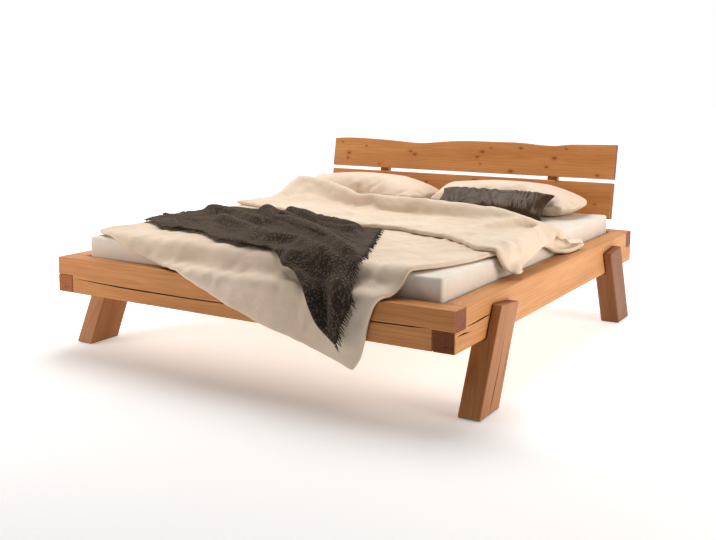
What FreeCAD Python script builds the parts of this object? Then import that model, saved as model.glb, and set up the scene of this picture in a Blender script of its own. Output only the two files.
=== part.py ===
import FreeCAD, Part
import math
import os
import Sketcher

# Wooden beam bed: four heavy half-lapped beams on splayed legs, a leaning two-plank
# headboard, a slatted base and the bedding. X runs across the bed, Y toward the head, Z up.

DIMENSIONS = [
    ("mattress_width", 1800, "mattress across the bed"),
    ("mattress_length", 2000, "mattress along the bed"),
    ("mattress_height", 185, "mattress from slats to sleeping face"),
    ("mattress_corner", 18, "mattress corner radius seen from above"),
    ("mattress_roll", 18, "mattress border radius"),
    ("mattress_play", 10, "free space round the mattress"),
    ("beam_thickness", 90, "frame beams, horizontal"),
    ("beam_height", 160, "frame beams, vertical"),
    ("beam_clearance", 280, "floor to the underside of the beams"),
    ("edge_round", 6, "eased arrises of the heavy timber"),
    ("slim_round", 2, "eased arrises of the thin timber"),
    ("cut_margin", 20, "how far a cutting outline reaches past the wood"),
    ("crack_depth", 14, "depth of a drying crack"),
    ("crack_half", 3.2, "half the width of a drying crack"),
    ("leg_thickness", 92, "leg across the bed"),
    ("leg_tongue", 40, "part of the leg that stands outside the beam"),
    ("leg_width", 180, "leg along the bed, level"),
    ("leg_lean", 25, "splay of the legs in degrees"),
    ("leg_inset", 135, "leg toe from the end of the frame"),
    ("leg_top", 404, "highest point of the leg tongue above the floor"),
    ("leg_top_fall", 16, "fall of the tongue top toward the middle of the bed"),
    ("leg_bolt_spread", 90, "distance between the two bolts of a leg"),
    ("leg_bolt_drop", 52, "leg bolts below the tongue top"),
    ("leg_bolt_bite", 20, "leg bolt reach into the tongue"),
    ("bracket_leg", 38, "angle bracket under the side beam, each leg"),
    ("bracket_width", 50, "angle bracket along the bed"),
    ("bracket_sheet", 4, "angle bracket sheet and gusset"),
    ("glide_diameter", 60, "felt glide"),
    ("glide_height", 3, "felt glide"),
    ("headboard_width", 1790, "headboard planks"),
    ("headboard_tilt", 10, "headboard lean in degrees"),
    ("headboard_lift", 57, "lower plank above the head beam"),
    ("headboard_setback", 37, "lower plank front edge from the frame end"),
    ("plank_thickness", 36, "headboard planks"),
    ("lower_plank_height", 196, "lower plank"),
    ("plank_gap", 20, "air between the planks"),
    ("upper_plank_height", 190, "upper plank at its highest"),
    ("live_edge_round", 7, "softened natural edge"),
    ("stile_width", 56, "headboard stile across the bed"),
    ("stile_thickness", 35, "headboard stile"),
    ("stile_offset", 540, "stile from the middle of the bed"),
    ("stile_top", 350, "stile end, measured up the planks"),
    ("stile_bolt_low", 120, "lower stile bolt below the planks"),
    ("stile_bolt_high", 178, "upper stile bolt below the planks, lower one in the beam"),
    ("stile_bolt_bite", 32, "stile bolt reach into the head beam"),
    ("ledger_width", 30, "slat ledger"),
    ("ledger_height", 45, "slat ledger"),
    ("ledger_gap", 5, "ledger ends from the beams"),
    ("slat_width", 80, "slat along the bed"),
    ("slat_thickness", 20, "slat"),
    ("slat_gap", 4, "slat ends from the side beams"),
    ("centre_width", 70, "centre beam"),
    ("centre_height", 45, "centre beam"),
    ("centre_leg_width", 62, "middle leg, square"),
    ("stud_diameter", 12, "stud of the middle leg"),
    ("stud_bite", 26, "stud reach into each piece"),
    ("sheet_metal", 3, "hanger sheet"),
    ("hanger_length", 50, "hanger seat along the bed"),
    ("hanger_wing", 32, "hanger wing beside the beam"),
    ("bolt_diameter", 10, "bolts"),
    ("bolt_head", 22, "bolt head diameter"),
    ("bolt_head_height", 8, "bolt head height"),
    ("bolt_recess", 26, "counterbore for a bolt head"),
    ("bolt_recess_depth", 12, "counterbore depth"),
    ("corner_bolt_bite", 52, "corner bolt reach into the upper lap"),
    ("hole_play", 0.4, "hole wider than its fastener"),
    ("screw_diameter", 5, "wood screws"),
    ("screw_head", 10, "wood screw head diameter"),
    ("screw_head_height", 3, "wood screw head height"),
    ("screw_bite", 24, "wood screw reach into the far piece"),
    ("soft_gap", 0.4, "bedding clear of its neighbours"),
    ("duvet_thickness", 25, "duvet, one layer"),
    ("fold_thickness", 26, "turned-back layer"),
    ("duvet_overhang", 3, "first bend of the duvet past the mattress end"),
    ("duvet_stand", 3, "hanging duvet clear of the foot beam"),
    ("duvet_lift", 10, "second bend of the duvet above the foot beam"),
    ("duvet_round", 40, "outer bends of the bedding"),
    ("fold_wave", 6, "depth of the hanging folds"),
    ("throw_thickness", 9, "knitted throw"),
    ("pillow_width", 835, "pillow across the bed"),
    ("pillow_depth", 385, "pillow along the bed"),
    ("pillow_height", 168, "pillow"),
    ("pillow_gap", 15, "pillow back edge from the foot of the headboard"),
    ("pillow_middle", 440, "pillow middle from the middle of the bed"),
    ("cushion_width", 600, "small cushion across the bed"),
    ("cushion_depth", 250, "small cushion"),
    ("cushion_height", 66, "small cushion"),
    ("cushion_tilt", 40, "small cushion lean in degrees"),
    ("cushion_side", 395, "small cushion middle across the bed"),
    ("cushion_forward", 37.5, "small cushion middle in front of the pillows"),
    ("cushion_raise", 66, "small cushion underside middle above the mattress"),
]
SLATS = 15

# Natural top edge of the upper plank: share of half the width, share of the full height.
LIVE_EDGE_SHARES = (
    (-1.000, 0.904), (-0.885, 0.941), (-0.692, 0.925), (-0.567, 0.904), (-0.459, 0.872),
    (-0.353, 0.845), (-0.250, 0.866), (-0.162, 0.909), (-0.048, 0.952), (0.052, 0.968),
    (0.190, 0.966), (0.327, 0.968), (0.421, 0.957), (0.501, 0.925), (0.566, 0.909),
    (0.617, 0.909), (0.681, 0.947), (0.782, 0.973), (0.905, 0.989), (1.000, 1.000),
)
# Drying cracks: share along the piece, share of its height.
FOOT_CRACK_SHARES = (
    (-0.905, 0.430), (-0.750, 0.400), (-0.593, 0.374), (-0.256, 0.363), (-0.037, 0.375),
    (0.300, 0.430), (0.660, 0.494), (0.830, 0.515), (0.905, 0.530),
)
SIDE_CRACK_SHARES = ((-0.917, 0.517), (-0.867, 0.524), (-0.805, 0.534), (-0.757, 0.545), (-0.690, 0.545))
SIDE_END_CRACK_SHARES = ((-0.990, 0.400), (-0.966, 0.402), (-0.933, 0.398), (-0.873, 0.358))
LEG_CRACK_SHARES = ((0.782, 0.485), (0.444, 0.517), (0.152, 0.475), (0.029, 0.440))
LEG_FINE_CRACK_SHARES = ((0.666, 0.840), (0.405, 0.860), (0.135, 0.840))
# Bedding outlines. Across: share of half the mattress width. Along: share of the way from the
# foot bend to the pillows. Up: share of the height of the sleeping face.
DUVET_PLAN_SHARES = (
    (-0.983, 0.974), (-0.983, 0.044), (-0.800, 0.000), (0.839, 0.000), (0.867, 0.044),
    (0.901, 0.098), (0.963, 0.218), (0.994, 0.302), (0.994, 0.674), (0.889, 0.713),
    (0.667, 0.759), (0.263, 0.800), (-0.233, 0.833), (-0.767, 0.962),
)
FLAP_SHARES = (
    (-0.800, 1.151), (-0.800, 1.028), (-0.676, 1.009), (-0.520, 0.934), (-0.367, 0.858),
    (-0.191, 0.764), (-0.040, 0.660), (0.178, 0.545), (0.441, 0.443), (0.639, 0.325),
    (0.678, 0.325), (0.703, 0.430), (0.718, 0.549), (0.727, 0.672), (0.750, 0.798),
    (0.810, 0.915), (0.839, 1.038), (0.839, 1.151),
)
FOLD_PLAN_SHARES = (
    (-0.983, 0.968), (-0.983, 0.584), (-0.667, 0.560), (-0.278, 0.470), (0.111, 0.410),
    (0.578, 0.362), (0.744, 0.320), (0.878, 0.296), (0.994, 0.284), (0.994, 0.662),
    (0.889, 0.710), (0.667, 0.755), (0.263, 0.797), (-0.233, 0.830), (-0.767, 0.959),
)
DROP_SHARES = (
    (0.284, 1.047), (0.290, 1.000), (0.422, 0.831), (0.512, 0.853), (0.614, 0.843),
    (0.722, 0.842), (0.842, 0.831), (0.818, 0.943), (0.662, 1.047),
)
THROW_PLAN_SHARES = (
    (-0.889, 0.560), (-0.618, 0.524), (-0.177, 0.413), (0.344, 0.344), (0.617, 0.017),
    (0.639, 0.000), (0.278, 0.000), (0.108, 0.011), (-0.234, 0.047), (-0.732, 0.103),
    (-0.956, 0.230),
)
THROW_HANG_SHARES = (
    (0.278, 1.170), (0.300, 1.057), (0.413, 0.909), (0.479, 0.642), (0.600, 0.443),
    (0.617, 0.443), (0.627, 0.755), (0.646, 0.940), (0.648, 1.057), (0.639, 1.170),
)
# Cushion levels: share of the height, share of the outline.
CUSHION_LEVELS = ((0.0, 0.74), (0.18, 0.93), (0.42, 1.0), (0.70, 0.88), (0.91, 0.62), (1.0, 0.36))
DRAWN_IN_SHARE = 0.04
BRIDGE_SHARE = 0.05

HALF_WIDTH = "(size.mattress_width / 2 + size.mattress_play + size.beam_thickness)"
HALF_LENGTH = "(size.mattress_length / 2 + size.mattress_play + size.beam_thickness)"
INNER_WIDTH = "(size.mattress_width / 2 + size.mattress_play)"
INNER_LENGTH = "(size.mattress_length / 2 + size.mattress_play)"
BEAM_LOW = "size.beam_clearance"
BEAM_TOP = "(size.beam_clearance + size.beam_height)"
LAP = "(size.beam_clearance + size.beam_height / 2)"
LEDGER_TOP = "(size.beam_clearance + size.ledger_height)"
SLAT_TOP = "(size.beam_clearance + size.ledger_height + size.slat_thickness)"
LEAN = "tan(size.leg_lean * 1 deg)"
TILT_SIN = "sin(size.headboard_tilt * 1 deg)"
TILT_COS = "cos(size.headboard_tilt * 1 deg)"
TILT_TAN = "tan(size.headboard_tilt * 1 deg)"
BOARD_Y = "(%s - size.headboard_setback)" % HALF_LENGTH
BOARD_Z = "(%s + size.headboard_lift)" % BEAM_TOP
LEG_BOLT_Z = "(size.leg_top - size.leg_bolt_drop)"
BOLT_HOLE = "(size.bolt_diameter + size.hole_play)"
SCREW_HOLE = "(size.screw_diameter + size.hole_play)"

doc = FreeCAD.newDocument("beam_bed")
size = doc.addObject("Spreadsheet::Sheet", "size")
for row, (alias, value, note) in enumerate(DIMENSIONS, 1):
    size.set("A%d" % row, note)
    size.set("B%d" % row, str(value))
    size.setAlias("B%d" % row, alias)
doc.recompute()
nodes = []


def new_body(label):
    """Start a named body."""
    body = doc.addObject("PartDesign::Body", label)
    body.Label = label
    nodes.append(body)
    return body


def new_sketch(body, name, role, offset):
    """Put an empty sketch on one of the body's own planes, moved along its normal."""
    sketch = body.newObject("Sketcher::SketchObject", name)
    base = [item for item in body.Origin.OriginFeatures if item.Role == role][0]
    sketch.AttachmentSupport = [(base, "")]
    sketch.MapMode = "FlatFace"
    if offset:
        sketch.setExpression("AttachmentOffset.Base.z", offset)
    return sketch


def bind(sketch, kind, index, place, value, text):
    """Fix one coordinate of a sketch point to an expression."""
    row = sketch.addConstraint(Sketcher.Constraint(kind, -1, 1, index, place, value))
    sketch.setExpression("Constraints[%d]" % row, text)


def outline(body, name, role, points, offset=""):
    """Draw a closed outline whose corners follow expressions."""
    sketch = new_sketch(body, name, role, offset)
    count = len(points)
    reach = size.beam_height
    ring = []
    for index in range(count):
        turn = 2 * math.pi * index / count
        ring.append(FreeCAD.Vector(reach * math.cos(turn), reach * math.sin(turn), 0))
    for index in range(count):
        sketch.addGeometry(Part.LineSegment(ring[index], ring[(index + 1) % count]), False)
    for index in range(count):
        sketch.addConstraint(Sketcher.Constraint("Coincident", index, 2, (index + 1) % count, 1))
    for index, (across, along) in enumerate(points):
        bind(sketch, "DistanceX", index, 1, ring[index].x, across)
        bind(sketch, "DistanceY", index, 1, ring[index].y, along)
    return sketch


def circles(body, name, role, centres, diameter, offset=""):
    """Draw circles whose centres and diameter follow expressions."""
    sketch = new_sketch(body, name, role, offset)
    for index, (across, along) in enumerate(centres):
        spot = FreeCAD.Vector(size.beam_height * (index + 1), size.beam_height, 0)
        sketch.addGeometry(Part.Circle(spot, FreeCAD.Vector(0, 0, 1), size.bolt_diameter), False)
        bind(sketch, "DistanceX", index, 3, spot.x, across)
        bind(sketch, "DistanceY", index, 3, spot.y, along)
        row = sketch.addConstraint(Sketcher.Constraint("Diameter", index, size.bolt_diameter))
        sketch.setExpression("Constraints[%d]" % row, diameter)
    return sketch


def pad(body, sketch, length, middle=True, back=False):
    """Pad a sketch by an expression."""
    feature = body.newObject("PartDesign::Pad", sketch.Name + "_pad")
    feature.Profile = sketch
    feature.setExpression("Length", length)
    feature.Midplane = middle
    feature.Reversed = back
    doc.recompute()
    return feature


def pocket(body, sketch, length, middle=False, back=False):
    """Cut a sketch into its body by an expression and make sure that it removed wood."""
    before = body.Shape.Volume
    feature = body.newObject("PartDesign::Pocket", sketch.Name + "_cut")
    feature.Profile = sketch
    feature.setExpression("Length", length)
    feature.Midplane = middle
    feature.Reversed = back
    doc.recompute()
    if not body.Shape.Volume < before:
        raise RuntimeError("nothing cut by " + feature.Name)
    return feature


def outer_edges(shape):
    """Name the straight outward edges of a shape."""
    names = []
    step = size.slim_round / 10
    for index, edge in enumerate(shape.Edges, 1):
        middle = edge.valueAt((edge.FirstParameter + edge.LastParameter) / 2)
        normals = []
        for face in shape.ancestorsOfType(edge, Part.Face):
            across, along = face.Surface.parameter(middle)
            normals.append(face.normalAt(across, along))
        probe = middle + (normals[0] - normals[1]) * step
        if not shape.isInside(probe, step / 100, True):
            names.append("Edge%d" % index)
    return names


def ease(body, radius):
    """Round every outward edge of what the body has so far."""
    base = body.Tip
    feature = body.newObject("PartDesign::Fillet", body.Name + "_eased")
    feature.Base = (base, outer_edges(base.Shape))
    feature.setExpression("Radius", radius)
    doc.recompute()
    return feature


def place(thing, across="0", along="0", up="0"):
    """Bind the place of an object to expressions."""
    for axis, text in (("x", across), ("y", along), ("z", up)):
        if text != "0":
            thing.setExpression("Placement.Base." + axis, text)


def lean_back(thing):
    """Set an object in the leaning frame of the headboard."""
    turn = FreeCAD.Rotation(FreeCAD.Vector(-1, 0, 0), size.headboard_tilt)
    thing.Placement = FreeCAD.Placement(FreeCAD.Vector(0, 0, 0), turn)
    thing.setExpression("Placement.Rotation.Angle", "size.headboard_tilt * 1 deg")
    place(thing, "0", BOARD_Y, BOARD_Z)


def crack(body, name, role, offset, line, upright, back=False):
    """Cut a thin crooked drying crack along a line of expression points."""
    first = line[0]
    last = line[-1]
    one = []
    other = []
    for index, (across, along) in enumerate(line[1:-1]):
        half = "size.crack_half * %s" % ("0.7", "1", "0.8")[index % 3]
        if upright:
            one.append(("%s + %s" % (across, half), along))
            other.append(("%s - %s" % (across, half), along))
        else:
            one.append((across, "%s + %s" % (along, half)))
            other.append((across, "%s - %s" % (along, half)))
    points = [first] + other + [last] + one[::-1]
    pocket(body, outline(body, name, role, points, offset), "size.crack_depth", False, back)


# Frame beams. The side beams run through in the lower half of every corner, the end beams in
# the upper half, so that each corner is a half lap.
def side_beam(label, side):
    """Side beam, lapped at both ends, with the holes for its legs and ledger."""
    body = new_body(label)
    end = HALF_LENGTH
    shoulder = INNER_LENGTH
    points = [
        ("-" + end, BEAM_LOW), (end, BEAM_LOW), (end, LAP), (shoulder, LAP),
        (shoulder, BEAM_TOP), ("-" + shoulder, BEAM_TOP), ("-" + shoulder, LAP), ("-" + end, LAP),
    ]
    pad(body, outline(body, label + "_side", "YZ_Plane", points), "size.beam_thickness")
    ease(body, "size.edge_round")
    if side > 0:
        line = [("%s * %g" % (HALF_LENGTH, along), "%s + size.beam_height * %g" % (BEAM_LOW, up))
                for along, up in SIDE_CRACK_SHARES]
        crack(body, label + "_crack", "YZ_Plane", "size.beam_thickness / 2", line, False)
        line = [("%s * %g" % (HALF_LENGTH, along), "%s + size.beam_height * %g" % (BEAM_LOW, up))
                for along, up in SIDE_END_CRACK_SHARES]
        crack(body, label + "_end_crack", "YZ_Plane", "size.beam_thickness / 2", line, False)
    inner = "%d * size.beam_thickness / 2" % -side
    back = side > 0
    spots = []
    for end_sign in (-1, 1):
        middle = leg_middle(end_sign, LEG_BOLT_Z)
        spots.append(("%s - size.leg_bolt_spread / 2" % middle, LEG_BOLT_Z))
        spots.append(("%s + size.leg_bolt_spread / 2" % middle, LEG_BOLT_Z))
    sketch = circles(body, label + "_leg_holes", "YZ_Plane", spots, BOLT_HOLE)
    pocket(body, sketch, "size.beam_thickness * 2", True)
    sketch = circles(body, label + "_leg_recess", "YZ_Plane", spots, "size.bolt_recess", inner)
    pocket(body, sketch, "size.bolt_recess_depth", False, back)
    spots = [(text, "%s + size.ledger_height / 2" % BEAM_LOW) for text in ledger_spots()]
    sketch = circles(body, label + "_ledger_holes", "YZ_Plane", spots, SCREW_HOLE, inner)
    pocket(body, sketch, "size.screw_bite + size.hole_play", False, back)
    spots = [("0", "%s * %d" % (corner_y(), sign)) for sign in (-1, 1)]
    sketch = circles(body, label + "_corner_holes", "XY_Plane", spots, BOLT_HOLE, LAP)
    pocket(body, sketch, "size.beam_height")
    recess = "%s + size.bolt_recess_depth" % BEAM_LOW
    sketch = circles(body, label + "_corner_recess", "XY_Plane", spots, "size.bolt_recess", recess)
    pocket(body, sketch, "size.beam_height")
    place(body, "%d * (%s - size.beam_thickness / 2)" % (side, HALF_WIDTH))
    return body


def corner_y():
    """Middle of a corner lap along the bed."""
    return "(%s - size.beam_thickness / 2)" % HALF_LENGTH


def corner_x():
    """Middle of a corner lap across the bed."""
    return "(%s - size.beam_thickness / 2)" % HALF_WIDTH


def leg_middle(end_sign, height):
    """Middle of a leg along the bed at a height."""
    toe = "(%s - size.leg_inset)" % HALF_LENGTH
    return "%d * (%s - size.leg_width / 2 - %s * %s)" % (end_sign, toe, height, LEAN)


def ledger_spots():
    """Screw places along a ledger."""
    return ["%s * %g" % (INNER_LENGTH, share) for share in (-0.92, -0.46, 0.02, 0.46, 0.92)]


def end_beam(label, end_sign):
    """Foot or head beam, lapped over the side beams."""
    body = new_body(label)
    end = HALF_WIDTH
    shoulder = INNER_WIDTH
    points = [
        ("-" + end, LAP), ("-" + shoulder, LAP), ("-" + shoulder, BEAM_LOW), (shoulder, BEAM_LOW),
        (shoulder, LAP), (end, LAP), (end, BEAM_TOP), ("-" + end, BEAM_TOP),
    ]
    pad(body, outline(body, label + "_front", "XZ_Plane", points), "size.beam_thickness")
    ease(body, "size.edge_round")
    spots = [("%s * %d" % (corner_x(), sign), "0") for sign in (-1, 1)]
    sketch = circles(body, label + "_corner_holes", "XY_Plane", spots, BOLT_HOLE, LAP)
    pocket(body, sketch, "size.corner_bolt_bite + size.hole_play", False, True)
    inner = "%d * size.beam_thickness / 2" % end_sign
    spots = [("%d * (size.centre_width / 2 + size.sheet_metal + size.hanger_wing / 2)" % sign,
              "%s + size.centre_height / 2" % BEAM_LOW) for sign in (-1, 1)]
    sketch = circles(body, label + "_hanger_holes", "XZ_Plane", spots, SCREW_HOLE, inner)
    pocket(body, sketch, "size.screw_bite + size.hole_play", False, end_sign < 0)
    place(body, "0", "%d * (%s - size.beam_thickness / 2)" % (end_sign, HALF_LENGTH))
    return body


foot_beam = end_beam("foot_beam", -1)
foot_line = [("%s * %g" % (HALF_WIDTH, along), "%s + size.beam_height * %g" % (BEAM_LOW, up))
             for along, up in FOOT_CRACK_SHARES]
crack(foot_beam, "foot_beam_crack", "XZ_Plane", "size.beam_thickness / 2", foot_line, False)

# The head beam has two sloping housings in its rear face, one for each headboard stile.
head_beam = end_beam("head_beam", 1)
local_y = "(%s - %s)" % (BOARD_Y, corner_y())
slope = "(%s + size.plank_thickness / %s + (%%s - %s) * %s)" % (local_y, TILT_COS, BOARD_Z, TILT_TAN)
high = "(%s + size.cut_margin)" % BEAM_TOP
low = "(%s - size.cut_margin)" % BEAM_LOW
rear = "(size.beam_thickness / 2 + size.cut_margin)"
for name, sign in (("left", -1), ("right", 1)):
    corners = [(slope % low, low), (rear, low), (rear, high), (slope % high, high)]
    housing = outline(head_beam, "head_beam_housing_" + name, "YZ_Plane", corners,
                      "%d * size.stile_offset" % sign)
    pocket(head_beam, housing, "size.stile_width", True)

side_beam_left = side_beam("side_beam_left", -1)
side_beam_right = side_beam("side_beam_right", 1)


# Legs. Each is notched so that the beam stands on its shoulder and a tongue covers the outside.
def leg(label, side, end_sign):
    """Splayed leg with its shoulder, its bolt holes and, where it has one, its crack."""
    body = new_body(label)
    foot = "size.glide_height"
    toe = "(%d * %s * %s)" % (-end_sign, foot, LEAN)
    tip = "(%d * size.leg_top * %s)" % (-end_sign, LEAN)
    wide = "%d * size.leg_width" % -end_sign
    fall = "(size.leg_top - size.leg_top_fall)"
    low_tip = "(%d * %s * %s)" % (-end_sign, fall, LEAN)
    points = [(toe, foot), ("%s + %s" % (toe, wide), foot),
              ("%s + %s" % (low_tip, wide), fall), (tip, "size.leg_top")]
    pad(body, outline(body, label + "_side", "YZ_Plane", points), "size.leg_thickness")
    inside = "%d * (size.leg_thickness / 2 + size.cut_margin)" % -side
    tongue = "%d * (size.leg_thickness / 2 - size.leg_tongue)" % side
    top = "(size.leg_top + size.cut_margin)"
    points = [(inside, BEAM_LOW), (tongue, BEAM_LOW), (tongue, top), (inside, top)]
    sketch = outline(body, label + "_notch", "XZ_Plane", points)
    pocket(body, sketch, "(size.leg_width + size.leg_top) * 4", True)
    ease(body, "size.edge_round")
    for kind, shares in (("crack", LEG_CRACK_SHARES), ("fine_crack", LEG_FINE_CRACK_SHARES)):
        if side > 0 and end_sign < 0:
            line = []
            for up, across in shares:
                height = "size.leg_top * %g" % up
                line.append(("%d * (%s * %s + size.leg_width * %g)"
                             % (-end_sign, height, LEAN, across), height))
            crack(body, label + "_" + kind, "YZ_Plane", "size.leg_thickness / 2", line, True)
    middle = "%d * (size.leg_width / 2 + %s * %s)" % (-end_sign, LEG_BOLT_Z, LEAN)
    spots = [("%s - size.leg_bolt_spread / 2" % middle, LEG_BOLT_Z),
             ("%s + size.leg_bolt_spread / 2" % middle, LEG_BOLT_Z)]
    sketch = circles(body, label + "_bolt_holes", "YZ_Plane", spots, BOLT_HOLE, tongue)
    pocket(body, sketch, "size.leg_bolt_bite + size.hole_play", False, side > 0)
    place(body, "%d * (%s + size.leg_tongue - size.leg_thickness / 2)" % (side, HALF_WIDTH),
          "%d * (%s - size.leg_inset)" % (end_sign, HALF_LENGTH))
    return body


leg("leg_front_left", -1, -1)
leg("leg_front_right", 1, -1)
leg("leg_rear_left", -1, 1)
leg("leg_rear_right", 1, 1)

# Steel angle brackets with a gusset, in the corner between each leg and the underside of the beam.
bracket_solids = []
for side_name, side in (("left", -1), ("right", 1)):
    for end_name, end_sign in (("front", -1), ("rear", 1)):
        bracket = new_body("bracket_%s_%s" % (end_name, side_name))
        nodes.remove(bracket)
        reach = "%d * size.bracket_leg" % -side
        sheet = "%d * size.bracket_sheet" % -side
        points = [("0", "0"), (reach, "0"), (reach, "-size.bracket_sheet"),
                  (sheet, "-size.bracket_sheet"), (sheet, "-size.bracket_leg"),
                  ("0", "-size.bracket_leg")]
        pad(bracket, outline(bracket, bracket.Name + "_angle", "XZ_Plane", points),
            "size.bracket_width")
        half = "%d * size.bracket_sheet / 2" % -side
        points = [(half, "-size.bracket_sheet / 2"), (reach, "-size.bracket_sheet / 2"),
                  (reach, "-size.bracket_sheet"), (sheet, "-size.bracket_leg"),
                  (half, "-size.bracket_leg")]
        pad(bracket, outline(bracket, bracket.Name + "_gusset", "XZ_Plane", points),
            "size.bracket_sheet")
        place(bracket, "%d * (%s + size.leg_tongue - size.leg_thickness)" % (side, HALF_WIDTH),
              leg_middle(end_sign, "(%s - size.bracket_leg / 2)" % BEAM_LOW), BEAM_LOW)
        bracket_solids.append(bracket)
brackets = doc.addObject("Part::Compound", "leg_brackets")
brackets.Label = "leg_brackets"
brackets.Links = bracket_solids
nodes.append(brackets)

# Headboard, drawn upright in its own frame and then leaned back.
UPPER_FOOT = "(size.lower_plank_height + size.plank_gap)"
SCREW_ROWS = ("size.lower_plank_height * 0.25", "size.lower_plank_height * 0.75",
              UPPER_FOOT + " + size.upper_plank_height * 0.22",
              UPPER_FOOT + " + size.upper_plank_height * 0.60")
lower_plank = new_body("headboard_lower_plank")
half = "size.headboard_width / 2"
corners = [("-" + half, "0"), (half, "0"), (half, "size.lower_plank_height"),
           ("-" + half, "size.lower_plank_height")]
pad(lower_plank, outline(lower_plank, "lower_plank_front", "XZ_Plane", corners),
    "size.plank_thickness", False, True)
ease(lower_plank, "size.edge_round")
spots = [("%d * size.stile_offset" % sign, text) for sign in (-1, 1) for text in SCREW_ROWS[:2]]
holes = circles(lower_plank, "lower_plank_holes", "XZ_Plane", spots, SCREW_HOLE,
                "-size.plank_thickness")
pocket(lower_plank, holes, "size.screw_bite + size.hole_play", False, True)
lean_back(lower_plank)

live = []
for across, up in LIVE_EDGE_SHARES:
    live.append(FreeCAD.Vector(across * size.headboard_width / 2, 0, up * size.upper_plank_height))
curve = Part.BSplineCurve()
curve.interpolate(live)
left_foot = FreeCAD.Vector(-size.headboard_width / 2, 0, 0)
right_foot = FreeCAD.Vector(size.headboard_width / 2, 0, 0)
wire = Part.Wire([Part.makeLine(left_foot, right_foot), Part.makeLine(right_foot, live[-1]),
                  curve.toShape(), Part.makeLine(live[0], left_foot)])
board = Part.Face(wire).extrude(FreeCAD.Vector(0, size.plank_thickness, 0))
crest = [edge for edge in board.Edges if isinstance(edge.Curve, Part.BSplineCurve)]
board = board.makeFillet(size.live_edge_round, crest)
for sign in (-1, 1):
    for share in (0.22, 0.60):
        start = FreeCAD.Vector(sign * size.stile_offset, size.plank_thickness,
                               share * size.upper_plank_height)
        drill = Part.makeCylinder((size.screw_diameter + size.hole_play) / 2,
                                  size.screw_bite + size.hole_play, start,
                                  FreeCAD.Vector(0, -1, 0))
        board = board.cut(drill)
upper_plank = doc.addObject("Part::Feature", "headboard_upper_plank")
upper_plank.Shape = board
upper_plank.Label = "headboard_upper_plank"
lean_back(upper_plank)
place(upper_plank, "0", "%s + %s * %s" % (BOARD_Y, UPPER_FOOT, TILT_SIN),
      "%s + %s * %s" % (BOARD_Z, UPPER_FOOT, TILT_COS))
nodes.append(upper_plank)

STILE_FRONT = "size.plank_thickness"
STILE_BACK = "(size.plank_thickness + size.stile_thickness)"
STILE_END = "((%s - %s + %%s * %s) / %s)" % (BEAM_LOW, BOARD_Z, TILT_SIN, TILT_COS)
STILE_BOLTS = ("-size.stile_bolt_low", "-size.stile_bolt_high")
for name, sign in (("left", -1), ("right", 1)):
    stile = new_body("headboard_stile_" + name)
    corners = [(STILE_FRONT, STILE_END % STILE_FRONT), (STILE_BACK, STILE_END % STILE_BACK),
               (STILE_BACK, "size.stile_top"), (STILE_FRONT, "size.stile_top")]
    pad(stile, outline(stile, "stile_side_" + name, "YZ_Plane", corners), "size.stile_width")
    ease(stile, "size.slim_round")
    depth = "size.stile_thickness * 4"
    spots = [("0", text) for text in SCREW_ROWS]
    holes = circles(stile, "stile_screw_holes_" + name, "XZ_Plane", spots, SCREW_HOLE,
                    "-size.plank_thickness")
    pocket(stile, holes, depth, True)
    spots = [("0", text) for text in STILE_BOLTS]
    holes = circles(stile, "stile_bolt_holes_" + name, "XZ_Plane", spots, BOLT_HOLE,
                    "-size.plank_thickness")
    pocket(stile, holes, depth, True)
    lean_back(stile)
    place(stile, "%d * size.stile_offset" % sign)

# Slatted base.
for name, sign in (("left", -1), ("right", 1)):
    ledger = new_body("ledger_" + name)
    run = "(%s - size.ledger_gap)" % INNER_LENGTH
    corners = [("-size.ledger_width / 2", "-" + run), ("size.ledger_width / 2", "-" + run),
               ("size.ledger_width / 2", run), ("-size.ledger_width / 2", run)]
    pad(ledger, outline(ledger, "ledger_plan_" + name, "XY_Plane", corners),
        "size.ledger_height", False)
    ease(ledger, "size.slim_round")
    spots = [(text, "size.ledger_height / 2") for text in ledger_spots()]
    holes = circles(ledger, "ledger_holes_" + name, "YZ_Plane", spots, SCREW_HOLE)
    pocket(ledger, holes, "size.ledger_width * 2", True)
    spots = []
    for index in range(SLATS):
        share = (2 * index + 1) / SLATS - 1
        spots.append(("0", "%s * %.5f" % (INNER_LENGTH, share)))
    holes = circles(ledger, "ledger_slat_holes_" + name, "XY_Plane", spots, SCREW_HOLE,
                    "size.ledger_height")
    pocket(ledger, holes, "size.screw_bite + size.hole_play - size.screw_head_height")
    place(ledger, "%d * (%s - size.ledger_width / 2)" % (sign, INNER_WIDTH), "0", BEAM_LOW)

SLAT_SCREW_X = "(%s - size.ledger_width / 2)" % INNER_WIDTH
for index in range(SLATS):
    label = "slat_%02d" % (index + 1)
    slat = new_body(label)
    run = "(%s - size.slat_gap)" % INNER_WIDTH
    corners = [("-" + run, "-size.slat_width / 2"), (run, "-size.slat_width / 2"),
               (run, "size.slat_width / 2"), ("-" + run, "size.slat_width / 2")]
    pad(slat, outline(slat, label + "_plan", "XY_Plane", corners), "size.slat_thickness", False)
    ease(slat, "size.slim_round")
    spots = [("%d * %s" % (sign, SLAT_SCREW_X), "0") for sign in (-1, 1)]
    holes = circles(slat, label + "_holes", "XY_Plane", spots, SCREW_HOLE, "size.slat_thickness")
    pocket(slat, holes, "size.slat_thickness * 2")
    sinks = circles(slat, label + "_sinks", "XY_Plane", spots, "size.screw_head + size.hole_play",
                    "size.slat_thickness")
    pocket(slat, sinks, "size.screw_head_height + size.hole_play")
    share = (2 * index + 1) / SLATS - 1
    place(slat, "0", "%s * %.5f" % (INNER_LENGTH, share), LEDGER_TOP)

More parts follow.
